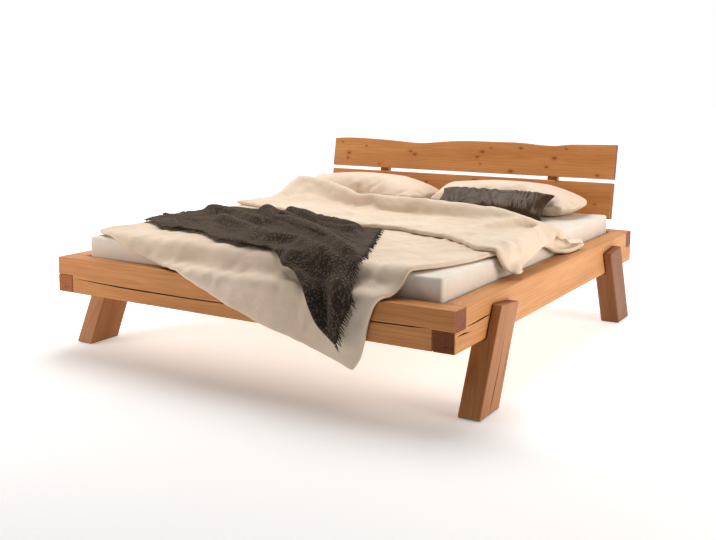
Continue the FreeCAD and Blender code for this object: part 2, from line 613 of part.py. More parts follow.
centre_beam = new_body("centre_beam")
CENTRE_LOW = "(%s - size.centre_height)" % LEDGER_TOP
run = "(%s - size.sheet_metal)" % INNER_LENGTH
corners = [("-size.centre_width / 2", "-" + run), ("size.centre_width / 2", "-" + run),
           ("size.centre_width / 2", run), ("-size.centre_width / 2", run)]
pad(centre_beam, outline(centre_beam, "centre_beam_plan", "XY_Plane", corners),
    "size.centre_height", False)
ease(centre_beam, "size.slim_round")
stud_hole = "size.stud_diameter + size.hole_play"
holes = circles(centre_beam, "centre_beam_stud_hole", "XY_Plane", [("0", "0")], stud_hole)
pocket(centre_beam, holes, "size.stud_bite + size.hole_play", False, True)
place(centre_beam, "0", "0", CENTRE_LOW)

centre_leg = new_body("centre_leg")
half = "size.centre_leg_width / 2"
corners = [("-" + half, "-" + half), (half, "-" + half), (half, half), ("-" + half, half)]
pad(centre_leg, outline(centre_leg, "centre_leg_plan", "XY_Plane", corners, "size.glide_height"),
    "%s - size.glide_height" % CENTRE_LOW, False)
ease(centre_leg, "size.slim_round")
holes = circles(centre_leg, "centre_leg_stud_hole", "XY_Plane", [("0", "0")], stud_hole, CENTRE_LOW)
pocket(centre_leg, holes, "size.stud_bite + size.hole_play")

stud = doc.addObject("Part::Cylinder", "centre_leg_stud")
stud.Label = "centre_leg_stud"
stud.setExpression("Radius", "size.stud_diameter / 2")
stud.setExpression("Height", "size.stud_bite * 2")
place(stud, "0", "0", "%s - size.stud_bite" % CENTRE_LOW)
nodes.append(stud)

# Sheet-metal hangers that carry the ends of the centre beam on the foot and head beams.
for name, end_sign in (("foot", -1), ("head", 1)):
    hanger = new_body("centre_hanger_" + name)
    inside = "size.centre_width / 2"
    cheek = "(size.centre_width / 2 + size.sheet_metal)"
    wing = "(size.centre_width / 2 + size.sheet_metal + size.hanger_wing)"
    top = "(size.centre_height - size.slim_round)"
    floor = "-size.sheet_metal"
    seat = [("-" + cheek, floor), (cheek, floor), (cheek, top), (inside, top), (inside, "0"),
            ("-" + inside, "0"), ("-" + inside, top), ("-" + cheek, top)]
    sketch = outline(hanger, "hanger_seat_" + name, "XZ_Plane", seat)
    pad(hanger, sketch, "size.hanger_length", False, end_sign < 0)
    plate = [("-" + wing, "0"), ("-" + cheek, "0"), ("-" + cheek, floor), (cheek, floor),
             (cheek, "0"), (wing, "0"), (wing, top), ("-" + wing, top)]
    sketch = outline(hanger, "hanger_plate_" + name, "XZ_Plane", plate)
    pad(hanger, sketch, "size.sheet_metal", False, end_sign < 0)
    spots = [("%d * (%s + size.hanger_wing / 2)" % (sign, cheek), "size.centre_height / 2")
             for sign in (-1, 1)]
    holes = circles(hanger, "hanger_holes_" + name, "XZ_Plane", spots, SCREW_HOLE)
    pocket(hanger, holes, "size.hanger_length", True)
    place(hanger, "0", "%d * %s" % (end_sign, INNER_LENGTH), CENTRE_LOW)


# Fasteners. Every group of equal fasteners is one object made of separate solids.
def fasteners(label, spots, way, shank, length, head, head_height):
    """Make a group of headed fasteners whose heads bear at the given spots."""
    forward = FreeCAD.Rotation(FreeCAD.Vector(0, 0, 1), way)
    backward = FreeCAD.Rotation(FreeCAD.Vector(0, 0, 1), way * -1)
    made = []
    for index, spot in enumerate(spots):
        pair = []
        for part, turn, wide, tall in (("shank", forward, shank, length),
                                       ("head", backward, head, head_height)):
            piece = doc.addObject("Part::Cylinder", "%s_%s_%02d" % (label, part, index + 1))
            piece.Placement = FreeCAD.Placement(FreeCAD.Vector(0, 0, 0), turn)
            piece.setExpression("Radius", "(%s) / 2" % wide)
            piece.setExpression("Height", tall)
            place(piece, *spot)
            pair.append(piece)
        joined = doc.addObject("Part::Fuse", "%s_one_%02d" % (label, index + 1))
        joined.Base = pair[0]
        joined.Tool = pair[1]
        made.append(joined)
    group = doc.addObject("Part::Compound", label)
    group.Label = label
    group.Links = made
    nodes.append(group)
    return group


def bolts(label, spots, way, length):
    """Group of machine bolts."""
    return fasteners(label, spots, way, "size.bolt_diameter", length, "size.bolt_head",
                     "size.bolt_head_height")


def screws(label, spots, way, length):
    """Group of wood screws."""
    return fasteners(label, spots, way, "size.screw_diameter", length, "size.screw_head",
                     "size.screw_head_height")


UP = FreeCAD.Vector(0, 0, 1)
spots = [("%d * %s" % (a, corner_x()), "%d * %s" % (b, corner_y()),
          "%s + size.bolt_recess_depth" % BEAM_LOW) for a in (-1, 1) for b in (-1, 1)]
bolts("corner_bolts", spots, UP,
      "size.beam_height / 2 - size.bolt_recess_depth + size.corner_bolt_bite")
for name, side in (("left", -1), ("right", 1)):
    spots = []
    for end_sign in (-1, 1):
        for sign in (-1, 1):
            spots.append(("%d * (%s + size.bolt_recess_depth)" % (side, INNER_WIDTH),
                          "%s + %d * size.leg_bolt_spread / 2"
                          % (leg_middle(end_sign, LEG_BOLT_Z), sign), LEG_BOLT_Z))
    bolts("leg_bolts_" + name, spots, FreeCAD.Vector(side, 0, 0),
          "size.beam_thickness - size.bolt_recess_depth + size.leg_bolt_bite")
    spots = []
    for text in ledger_spots():
        spots.append(("%d * (%s - size.ledger_width)" % (side, INNER_WIDTH), text,
                      "%s + size.ledger_height / 2" % BEAM_LOW))
    screws("ledger_screws_" + name, spots, FreeCAD.Vector(side, 0, 0),
           "size.ledger_width + size.screw_bite")

slat_spots = []
for index in range(SLATS):
    share = (2 * index + 1) / SLATS - 1
    for sign in (-1, 1):
        slat_spots.append(("%d * %s" % (sign, SLAT_SCREW_X), "%s * %.5f" % (INNER_LENGTH, share),
                           "%s - size.screw_head_height" % SLAT_TOP))
screws("slat_screws", slat_spots, UP * -1,
       "size.slat_thickness - size.screw_head_height + size.screw_bite - size.screw_head_height")

for name, end_sign in (("foot", -1), ("head", 1)):
    spots = []
    for sign in (-1, 1):
        spots.append(("%d * (size.centre_width / 2 + size.sheet_metal + size.hanger_wing / 2)" % sign,
                      "%d * (%s - size.sheet_metal)" % (end_sign, INNER_LENGTH),
                      "%s + size.centre_height / 2" % CENTRE_LOW))
    screws("hanger_screws_" + name, spots, FreeCAD.Vector(0, end_sign, 0),
           "size.sheet_metal + size.screw_bite")

AHEAD = FreeCAD.Vector(0, -1, 0)
spots = [("%d * size.stile_offset" % sign, STILE_BACK, text)
         for sign in (-1, 1) for text in STILE_BOLTS]
stile_bolts = bolts("stile_bolts", spots, AHEAD, "size.stile_thickness + size.stile_bolt_bite")
lean_back(stile_bolts)
spots = [("%d * size.stile_offset" % sign, STILE_BACK, text)
         for sign in (-1, 1) for text in SCREW_ROWS]
plank_screws = screws("plank_screws", spots, AHEAD, "size.stile_thickness + size.screw_bite")
lean_back(plank_screws)

# Holes for the stile bolts in the sloping housings of the head beam.
bolt_tools = []
for index, sign in enumerate((-1, 1)):
    for deep, text in enumerate(STILE_BOLTS):
        tool = doc.addObject("Part::Cylinder", "head_beam_drill_%d%d" % (index + 1, deep + 1))
        turn = FreeCAD.Rotation(FreeCAD.Vector(0, 0, 1), AHEAD)
        tool.Placement = FreeCAD.Placement(FreeCAD.Vector(0, 0, 0), turn)
        tool.setExpression("Radius", "%s / 2" % BOLT_HOLE)
        tool.setExpression("Height", "size.stile_thickness + size.stile_bolt_bite + size.hole_play")
        place(tool, "%d * size.stile_offset" % sign, STILE_BACK, text)
        bolt_tools.append(tool)
drills = doc.addObject("Part::Compound", "head_beam_drills")
drills.Links = bolt_tools
lean_back(drills)
nodes.remove(head_beam)
head_beam.Label = "head_beam_blank"
drilled = doc.addObject("Part::Cut", "head_beam_drilled")
drilled.Base = head_beam
drilled.Tool = drills
drilled.Label = "head_beam"
nodes.append(drilled)

glides = []
glide_spots = [("0", "0")]
for side in (-1, 1):
    for end_sign in (-1, 1):
        glide_spots.append(("%d * (%s + size.leg_tongue - size.leg_thickness / 2)"
                            % (side, HALF_WIDTH), leg_middle(end_sign, "size.glide_height")))
for index, (across, along) in enumerate(glide_spots):
    disc = doc.addObject("Part::Cylinder", "felt_glide_%d" % (index + 1))
    disc.setExpression("Radius", "size.glide_diameter / 2")
    disc.setExpression("Height", "size.glide_height")
    place(disc, across, along)
    glides.append(disc)
felt = doc.addObject("Part::Compound", "felt_glides")
felt.Label = "felt_glides"
felt.Links = glides
nodes.append(felt)

# Mattress.
mattress = new_body("mattress")
corners = [("-size.mattress_width / 2", "-size.mattress_length / 2"),
           ("size.mattress_width / 2", "-size.mattress_length / 2"),
           ("size.mattress_width / 2", "size.mattress_length / 2"),
           ("-size.mattress_width / 2", "size.mattress_length / 2")]
block = pad(mattress, outline(mattress, "mattress_plan", "XY_Plane", corners),
            "size.mattress_height", False)
upright = []
for index, edge in enumerate(block.Shape.Edges, 1):
    if abs(edge.tangentAt(edge.FirstParameter).z) > abs(edge.tangentAt(edge.FirstParameter).x):
        if abs(edge.BoundBox.ZLength) > edge.BoundBox.YLength:
            upright.append("Edge%d" % index)
rounded = mattress.newObject("PartDesign::Fillet", "mattress_corners")
rounded.Base = (block, upright)
rounded.setExpression("Radius", "size.mattress_corner")
doc.recompute()
border = ["Edge%d" % index for index, edge in enumerate(rounded.Shape.Edges, 1)
          if edge.BoundBox.ZLength < size.mattress_height / 2]
rolled = mattress.newObject("PartDesign::Fillet", "mattress_border")
rolled.Base = (rounded, border)
rolled.setExpression("Radius", "size.mattress_roll")
doc.recompute()
place(mattress, "0", "0", SLAT_TOP)

# Bedding. Soft solids with their main folds.
slat_top = size.beam_clearance + size.ledger_height + size.slat_thickness
sleep = slat_top + size.mattress_height
half_w = size.mattress_width / 2
half_l = size.mattress_length / 2
bend_y = -half_l - size.duvet_overhang
board_y = half_l + size.mattress_play + size.beam_thickness - size.headboard_setback
pillow_front = board_y - size.pillow_gap - size.pillow_depth
spread = pillow_front - bend_y
beam_top = size.beam_clearance + size.beam_height
base = sleep + size.soft_gap
hang_y = -half_l - size.mattress_play - size.beam_thickness - size.duvet_stand


def prism(points, lift):
    """Extrude a closed flat outline."""
    ring = Part.makePolygon(points + [points[0]])
    return Part.Face(ring).extrude(lift)


def draped(inner, thick, low):
    """Cloth that lies flat, slopes down to the foot beam and hangs, as a strip across the bed."""
    slope = FreeCAD.Vector(0, hang_y - bend_y, beam_top + size.duvet_lift - base).normalize()
    out_y = slope.z
    out_z = -slope.y
    lines = []
    for off in (inner, inner + thick):
        line = [(pillow_front, base + off)]
        line.append((bend_y + off * (1 - out_z) / out_y, base + off))
        line.append((hang_y - off, beam_top + size.duvet_lift + off * (1 + out_y) / out_z))
        line.append((hang_y - off, low))
        lines.append([FreeCAD.Vector(-half_w, along, up) for along, up in line])
    strip = prism(lines[0] + lines[1][::-1], FreeCAD.Vector(2 * half_w, 0, 0))
    bends = []
    for edge in strip.Edges:
        if edge.BoundBox.XLength > half_w:
            for corner in lines[1][1:3]:
                if edge.distToShape(Part.Vertex(corner))[0] < size.soft_gap / 4:
                    bends.append(edge)
    return strip.makeFillet(size.duvet_round, bends)


def plan_prism(shares, low, tall):
    """Upright prism over an outline seen from above."""
    points = [FreeCAD.Vector(across * half_w, bend_y + along * spread, low)
              for across, along in shares]
    return prism(points, FreeCAD.Vector(0, 0, tall))


def front_prism(shares, start, deep):
    """Level prism behind an outline seen from the foot end."""
    points = [FreeCAD.Vector(across * half_w, start, up * sleep) for across, up in shares]
    return prism(points, FreeCAD.Vector(0, deep, 0))


def soft_node(label, shape):
    """Keep a soft solid as a named node."""
    thing = doc.addObject("Part::Feature", label)
    thing.Shape = shape
    thing.Label = label
    nodes.append(thing)
    return thing


# Duvet: one layer drawn askew over the bed with a corner over the foot beam, and its head part
# turned back over it with a corner down beside the mattress.
front_y = hang_y - size.duvet_thickness
strip = draped(0, size.duvet_thickness, slat_top / 4)
lying = strip.common(plan_prism(DUVET_PLAN_SHARES, slat_top, sleep))
flap = strip.common(front_prism(FLAP_SHARES, front_y - size.cut_margin,
                                bend_y - front_y + size.cut_margin))
for share in (-0.10, 0.12, 0.34, 0.52, 0.66):
    spot = FreeCAD.Vector(share * half_w, front_y - size.fold_wave * 2, slat_top / 4)
    flap = flap.cut(Part.makeCylinder(size.fold_wave * 3, beam_top - slat_top / 4, spot))
fold_low = base + size.duvet_thickness
turned = plan_prism(FOLD_PLAN_SHARES, fold_low, size.fold_thickness)
top_edges = [edge for edge in turned.Edges
             if abs(edge.BoundBox.ZMin - fold_low - size.fold_thickness) < size.soft_gap / 4]
turned = turned.makeFillet(size.fold_thickness / 3, top_edges)
drop_points = [FreeCAD.Vector(half_w + size.soft_gap, bend_y + along * spread,
                              max(up * sleep, beam_top + size.soft_gap))
               for along, up in DROP_SHARES]
drop = prism(drop_points, FreeCAD.Vector(size.duvet_thickness, 0, 0))
bridge_low = FreeCAD.Vector(half_w * (1 - BRIDGE_SHARE), drop_points[0].y, base)
bridge = Part.makeBox(half_w * BRIDGE_SHARE + size.soft_gap + size.duvet_thickness,
                      drop_points[-1].y - drop_points[0].y,
                      size.duvet_thickness + size.fold_thickness / 2, bridge_low)
ridge = [edge for edge in bridge.Edges
         if edge.BoundBox.YLength > size.duvet_round and edge.BoundBox.XMin > half_w
         and edge.BoundBox.ZMin > fold_low]
bridge = bridge.makeFillet(size.fold_thickness / 2, ridge)
duvet = lying.fuse([flap, turned, drop, bridge]).removeSplitter()
soft_node("duvet", duvet)

# Knitted throw on the duvet, with its own corner over the foot end.
strip = draped(size.duvet_thickness + size.soft_gap, size.throw_thickness, slat_top / 3)
lying = strip.common(plan_prism(THROW_PLAN_SHARES, slat_top, sleep))
hang = strip.common(front_prism(THROW_HANG_SHARES, front_y - 2 * size.cut_margin,
                                bend_y - front_y + 2 * size.cut_margin))
soft_node("throw", lying.fuse(hang).removeSplitter())


def cushion(wide, deep, tall):
    """Crowned cushion with drawn-in sides, standing on its underside."""
    rings = []
    for level, share in CUSHION_LEVELS:
        across = wide / 2 * (1 - (1 - share) * deep / wide)
        along = deep / 2 * share
        pull = DRAWN_IN_SHARE * deep * share
        corner = [(-across, -along), (across, -along), (across, along), (-across, along)]
        middle = [(0, -along + pull), (across - pull, 0), (0, along - pull), (-across + pull, 0)]
        arcs = []
        for index in range(4):
            ends = [FreeCAD.Vector(spot[0], spot[1], level * tall)
                    for spot in (corner[index], middle[index], corner[(index + 1) % 4])]
            arcs.append(Part.Arc(ends[0], ends[1], ends[2]).toShape())
        rings.append(Part.Wire(arcs))
    return Part.makeLoft(rings, True, False)


for name, sign in (("left", -1), ("right", 1)):
    pillow = soft_node("pillow_" + name,
                       cushion(size.pillow_width, size.pillow_depth, size.pillow_height))
    place(pillow, "%d * size.pillow_middle" % sign, "%s - size.pillow_gap - size.pillow_depth / 2" % BOARD_Y,
          "%s + size.mattress_height + size.soft_gap" % SLAT_TOP)

small = soft_node("satin_cushion",
                  cushion(size.cushion_width, size.cushion_depth, size.cushion_height))
small.Placement = FreeCAD.Placement(
    FreeCAD.Vector(0, 0, 0), FreeCAD.Rotation(FreeCAD.Vector(1, 0, 0), size.cushion_tilt))
small.setExpression("Placement.Rotation.Angle", "size.cushion_tilt * 1 deg")
place(small, "size.cushion_side",
      "%s - size.pillow_gap - size.pillow_depth - size.cushion_forward" % BOARD_Y,
      "%s + size.mattress_height + size.cushion_raise" % SLAT_TOP)

doc.recompute()
for thing in doc.Objects:
    if "Invalid" in thing.State or "Error" in thing.State:
        raise RuntimeError("failed object " + thing.Name)
os.makedirs("parts", exist_ok=True)
for thing in nodes:
    if thing.Shape.isNull() or not thing.Shape.isValid():
        raise RuntimeError("bad shape " + thing.Label)
    if not thing.Shape.Solids:
        raise RuntimeError("no solid in " + thing.Label)
    thing.Shape.exportStep("parts/%s.step" % thing.Label)
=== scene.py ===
"""Wooden beam bed: finishes for the timber frame, and the bedding draped over it."""
import logging
import math
from collections.abc import Callable, Sequence
from dataclasses import dataclass
from enum import Enum

import bmesh
import bpy
from bmesh.types import BMEdge, BMesh, BMVert
from bpy.types import Material, Node, NodeSocket, NodeTree, Object
from mathutils import Euler, Matrix, Vector, noise
from mathutils.geometry import intersect_point_line


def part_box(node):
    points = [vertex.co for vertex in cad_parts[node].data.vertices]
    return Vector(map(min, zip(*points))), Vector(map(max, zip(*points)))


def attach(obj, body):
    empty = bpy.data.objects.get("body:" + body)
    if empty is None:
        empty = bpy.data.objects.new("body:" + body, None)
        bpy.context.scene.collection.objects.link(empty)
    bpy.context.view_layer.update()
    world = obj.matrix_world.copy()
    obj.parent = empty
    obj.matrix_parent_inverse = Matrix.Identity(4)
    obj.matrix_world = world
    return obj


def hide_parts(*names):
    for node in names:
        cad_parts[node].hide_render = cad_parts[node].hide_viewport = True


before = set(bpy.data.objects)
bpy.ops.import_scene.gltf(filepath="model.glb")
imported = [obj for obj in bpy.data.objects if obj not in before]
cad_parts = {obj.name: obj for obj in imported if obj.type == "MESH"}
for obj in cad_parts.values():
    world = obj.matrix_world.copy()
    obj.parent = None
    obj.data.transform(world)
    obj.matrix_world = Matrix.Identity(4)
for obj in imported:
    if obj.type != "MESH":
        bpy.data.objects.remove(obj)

LOG = logging.getLogger("beam_bed")
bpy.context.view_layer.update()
NODES: dict[str, Object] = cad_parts
ROOT = "root"
MM = 0.001
# A spot inside the bed, from which the outer side of every cloth faces away.
BED_HEART = Vector((0, -0.2, 0.3))
# The solver's steps a frame, and the least gap and wall in metres that its contacts need.
SOLVER_STEPS = 7
CONTACT_STEPS = 4
LEAST_GAP = 0.002
INNER_WALL = 0.05
SHEAR_SHARE = 0.4

Point = tuple[float, float, float]
Spot = tuple[float, float]
Plan = tuple[Spot, ...]


def linear(code: str) -> tuple[float, float, float, float]:
    """Turn an sRGB hex value into a linear colour.

    Args:
        code: Colour such as "#C98F5B".

    Returns:
        Linear red, green and blue, with full alpha.
    """
    parts = [int(code[i:i + 2], 16) / 255 for i in (1, 3, 5)]
    made = [p / 12.92 if p <= 0.04045 else ((p + 0.055) / 1.055) ** 2.4 for p in parts]
    return made[0], made[1], made[2], 1.0


def plug(tree: NodeTree, node: Node, inputs: dict) -> None:
    """Set or link inputs of a shader node.

    Args:
        tree: Node tree of the node.
        node: The node.
        inputs: Values or output sockets by input name or number.
    """
    for key, value in inputs.items():
        if isinstance(value, NodeSocket):
            tree.links.new(value, node.inputs[key])
        else:
            node.inputs[key].default_value = value


def add(tree: NodeTree, kind: str, inputs: dict | None = None,
        stops: Sequence[tuple[float, tuple]] = (), out: int | str = 0,
        **settings: object) -> NodeSocket | None:
    """Add one shader node with its settings and links.

    Args:
        tree: Node tree that gets the node.
        kind: Node type, without its ShaderNode prefix.
        inputs: Values or output sockets by input name or number.
        stops: Places and colours, where the node is a colour ramp.
        out: Name or number of the output that is used.
        settings: Properties of the node.

    Returns:
        That output, or nothing where the node has none.
    """
    node = tree.nodes.new("ShaderNode" + kind)
    for name, value in settings.items():
        setattr(node, name, value)
    for index, (place, colour) in enumerate(stops):
        ramp = node.color_ramp.elements
        element = ramp[index] if index < 2 else ramp.new(place)
        element.position = place
        element.color = colour
    plug(tree, node, inputs or {})
    return node.outputs[out] if node.outputs else None


def new_material(name: str) -> tuple[Material, NodeTree, Node]:
    """Start an empty node material.

    Args:
        name: Name of the real material.

    Returns:
        The material, its node tree and its Principled shader.
    """
    material = bpy.data.materials.new(name)
    material.use_nodes = True
    tree = material.node_tree
    tree.nodes.clear()
    surface = add(tree, "BsdfPrincipled")
    add(tree, "OutputMaterial", {"Surface": surface})
    return material, tree, surface.node


class Grain(Enum):
    """Turn, in degrees, that brings a local X axis to the grain of a timber."""

    ACROSS = (0.0, 0.0, 0.0)
    ALONG = (0.0, 0.0, 90.0)
    UPRIGHT = (0.0, -90.0, 0.0)
    FRONT_LEG = (0.0, -65.0, 90.0)
    REAR_LEG = (0.0, -65.0, -90.0)
    PLANK = (-10.0, 0.0, 0.0)
    STILE = (0.0, -80.0, 90.0)

    def euler(self) -> Euler:
        """The turn in radians."""
        return Euler([math.radians(a) for a in self.value])

    def direction(self) -> Vector:
        """Unit vector along the grain."""
        return self.euler().to_matrix() @ Vector((1, 0, 0))


@dataclass(frozen=True)
class WoodFinish:
    """Knotty softwood, planed, eased by hand and oiled: honey rings, silky low gloss."""

    name: str
    grain: Grain
    pith: Point
    early: str = "#D3945A"
    late: str = "#AC6B38"
    heart: str = "#C07F48"
    end: str = "#87431E"
    knot: str = "#6E3A1E"
    halo: str = "#AE6334"
    check_shade: str = "#2E170C"
    ring_mm: float = 11.0
    ring_depth: float = 0.36
    wave_mm: float = 26.0
    knot_spacing_mm: float = 420.0
    knots: Plan = ()
    checks: bool = True

    def material(self) -> Material:
        """Build the node material.

        Returns:
            Wood whose rings run round the pith line, with end grain, knots and fibres.
        """
        material, tree, shader = new_material(self.name)
        seat = add(tree, "TexCoord").node
        local = add(tree, "Mapping", {
            "Vector": seat.outputs["Object"], "Location": self.pith,
            "Rotation": self.grain.euler(),
        }, vector_type="TEXTURE")
        # Growth is never straight: a slow wave along the log bends the rings.
        slow = add(tree, "VectorMath", {0: local, 1: (1.1, 4.0, 4.0)}, operation="MULTIPLY")
        wave = add(tree, "TexNoise", {"Vector": slow, "Scale": 1.0, "Detail": 2.0}, out="Color")
        wave = add(tree, "VectorMath", {0: wave, 1: (0.5, 0.5, 0.5)}, operation="SUBTRACT")
        wave = add(tree, "VectorMath", {0: wave, "Scale": self.wave_mm * MM * 2},
                   operation="SCALE")
        bent = add(tree, "VectorMath", {0: local, 1: wave}, operation="ADD")
        flat = add(tree, "VectorMath", {0: bent, 1: (0.0, 1.0, 1.0)},
                   operation="MULTIPLY")
        radius = add(tree, "VectorMath", {0: flat}, operation="LENGTH", out="Value")
        near = self._knot_distance(tree, local)
        # Rings swing round each knot.
        swing = add(tree, "MapRange", {"Value": near, 1: 0.0, 2: 3.2, 3: 2.2, 4: 0.0},
                    interpolation_type="SMOOTHERSTEP")
        # Real rings are 2 to 5 mm apart; they are drawn coarser so that they show.
        turns = add(tree, "Math", {0: radius, 1: self.ring_mm * MM}, operation="DIVIDE")
        turns = add(tree, "Math", {0: turns, 1: swing}, operation="ADD")
        ring = add(tree, "Math", {0: turns}, operation="FRACT")
        ring = add(tree, "ValToRGB", {0: ring}, stops=(
            (0.0, (0, 0, 0, 1)), (1.0, (0.05, 0.05, 0.05, 1)), (0.55, (0.3, 0.3, 0.3, 1)),
            (0.86, (1, 1, 1, 1)),
        ))
        # Fibres: streaks about 3 mm wide and some 150 mm long.
        thin = add(tree, "VectorMath", {0: local, 1: (7.0, 330.0, 330.0)}, operation="MULTIPLY")
        fibre = add(tree, "TexNoise", {"Vector": thin, "Scale": 1.0, "Detail": 3.0,
                                       "Roughness": 0.6})
        broad = add(tree, "VectorMath", {0: local, 1: (1.6, 14.0, 14.0)}, operation="MULTIPLY")
        broad = add(tree, "TexNoise", {"Vector": broad, "Scale": 1.0, "Detail": 2.0})
        tone = add(tree, "MapRange", {"Value": broad, 1: 0.3, 2: 0.7})
        ground = add(tree, "Mix", {"Factor": tone, 6: linear(self.early), 7: linear(self.heart)},
                     data_type="RGBA", out=2)
        depth = add(tree, "Math", {0: ring, 1: self.ring_depth}, operation="MULTIPLY")
        colour = add(tree, "Mix", {"Factor": depth, 6: ground, 7: linear(self.late)},
                     data_type="RGBA", out=2)
        streak = add(tree, "MapRange", {"Value": fibre, 1: 0.3, 2: 0.7, 3: 0.84, 4: 1.12})
        colour = add(tree, "VectorMath", {0: colour, "Scale": streak}, operation="SCALE")
        # Knots: a reddish halo and a dark heart, each from and to so many knot radii.
        for inner, outer, share, tint in ((0.8, 2.0, 0.6, self.halo), (0.3, 0.95, 0.8, self.knot)):
            stain = add(tree, "MapRange", {"Value": near, 1: inner, 2: outer, 3: share, 4: 0.0},
                        interpolation_type="SMOOTHSTEP")
            colour = add(tree, "Mix", {"Factor": stain, 6: colour, 7: linear(tint)},
                         data_type="RGBA", out=2)
        # End grain drinks more oil, so it is darker, and it checks from the pith outwards.
        facing = add(tree, "VectorMath", {0: seat.outputs["Normal"], 1: self.grain.direction()},
                     operation="DOT_PRODUCT", out="Value")
        facing = add(tree, "Math", {0: facing}, operation="ABSOLUTE")
        ended = add(tree, "MapRange", {"Value": facing, 1: 0.72, 2: 0.92},
                    interpolation_type="SMOOTHSTEP")
        soft = add(tree, "Math", {0: ring, 1: 0.45}, operation="MULTIPLY")
        dark = add(tree, "Mix", {"Factor": soft, 6: linear(self.end), 7: linear(self.knot)},
                   data_type="RGBA", out=2)
        dark = add(tree, "VectorMath", {0: dark, "Scale": streak}, operation="SCALE")
        colour = add(tree, "Mix", {"Factor": ended, 6: colour, 7: dark},
                     data_type="RGBA", out=2)
        height = add(tree, "Math", {0: fibre, 1: ring, 2: fibre}, operation="MULTIPLY_ADD")
        if self.checks:
            split = self._check_mask(tree, local, radius)
            split = add(tree, "Math", {0: split, 1: ended}, operation="MULTIPLY")
            # The drying checks are real splits; their near-black colour is painted shade inside
            # them.
            colour = add(tree, "Mix", {"Factor": split, 6: colour, 7: linear(self.check_shade)},
                         data_type="RGBA", out=2)
            height = add(tree, "Math", {0: split, 1: -3.0, 2: height},
                         operation="MULTIPLY_ADD")
        # Painted shade: the colour is darkened in seams and tight corners, within about a finger's
        # width, where shade falls.
        painted_seam_shade = add(tree, "AmbientOcclusion", {"Distance": 16 * MM}, samples=8, out="AO")
        painted_seam_shade = add(tree, "MapRange", {"Value": painted_seam_shade, 1: 0.3, 2: 0.85, 3: 0.25, 4: 1.0},
                   interpolation_type="SMOOTHSTEP")
        colour = add(tree, "VectorMath", {0: colour, "Scale": painted_seam_shade}, operation="SCALE")
        rough = add(tree, "MapRange", {"Value": fibre, 1: 0.3, 2: 0.7, 3: 0.42, 4: 0.58})
        bump = add(tree, "Bump", {"Height": height, "Strength": 0.25, "Distance": 0.0012})
        plug(tree, shader, {"Base Color": colour, "Roughness": rough, "IOR": 1.5,
                            "Specular IOR Level": 0.25, "Normal": bump})
        return material

    def _knot_distance(self, tree: NodeTree, local: NodeSocket) -> NodeSocket:
        """Distance to the nearest knot, in knot radii.

        Args:
            tree: Node tree of the wood.
            local: Coordinates of the timber.

        Returns:
            Socket with the distance.
        """
        if not self.knots:
            cell = self.knot_spacing_mm * MM
            grid = add(tree, "VectorMath", {0: local, 1: (0.55 / cell, 1.3 / cell, 1.3 / cell)},
                       operation="MULTIPLY")
            cells = add(tree, "TexVoronoi", {"Vector": grid, "Scale": 1.0})
            return add(tree, "Math", {0: cells, 1: 16.0}, operation="MULTIPLY")
        nearest: NodeSocket | None = None
        for index, (across, up) in enumerate(self.knots):
            radius = (5.0 + 2.5 * (index % 3)) * MM
            gap = add(tree, "VectorMath", {0: local, 1: (across, 0.0, up)}, operation="SUBTRACT")
            gap = add(tree, "VectorMath", {0: gap, 1: (0.6 / radius, 0.0, 1 / radius)},
                      operation="MULTIPLY")
            far = add(tree, "VectorMath", {0: gap}, operation="LENGTH", out="Value")
            if nearest is None:
                nearest = far
            else:
                nearest = add(tree, "Math", {0: nearest, 1: far}, operation="MINIMUM")
        return nearest

    def _check_mask(self, tree: NodeTree, local: NodeSocket, radius: NodeSocket) -> NodeSocket:
        """Radial drying checks of the end grain.

        Args:
            tree: Node tree of the wood.
            local: Coordinates of the timber.
            radius: Distance from the pith.

        Returns:
            Socket that is 1 in a check.
        """
        part = add(tree, "SeparateXYZ", {0: local}).node
        angle = add(tree, "Math", {0: part.outputs[2], 1: part.outputs[1]},
                    operation="ARCTAN2")
        stray = add(tree, "TexNoise", {"Vector": local, "Scale": 38.0, "Detail": 1.0})
        turn = add(tree, "Math", {0: angle, 1: 2.5, 2: stray}, operation="MULTIPLY_ADD")
        turn = add(tree, "Math", {0: stray, 1: 2.0, 2: turn}, operation="MULTIPLY_ADD")
        ray = add(tree, "Math", {0: turn}, operation="SINE")
        ray = add(tree, "Math", {0: ray}, operation="ABSOLUTE")
        wide = add(tree, "Math", {0: ray, 1: radius}, operation="MULTIPLY")
        line = add(tree, "MapRange", {"Value": wide, 1: 0.8 * MM, 2: 2.6 * MM, 3: 1.0, 4: 0.0},
                   interpolation_type="SMOOTHSTEP")
        reach = add(tree, "MapRange", {"Value": radius, 1: 26 * MM, 2: 44 * MM, 3: 1.0, 4: 0.0},
                    interpolation_type="SMOOTHSTEP")
        return add(tree, "Math", {0: line, 1: reach}, operation="MULTIPLY")


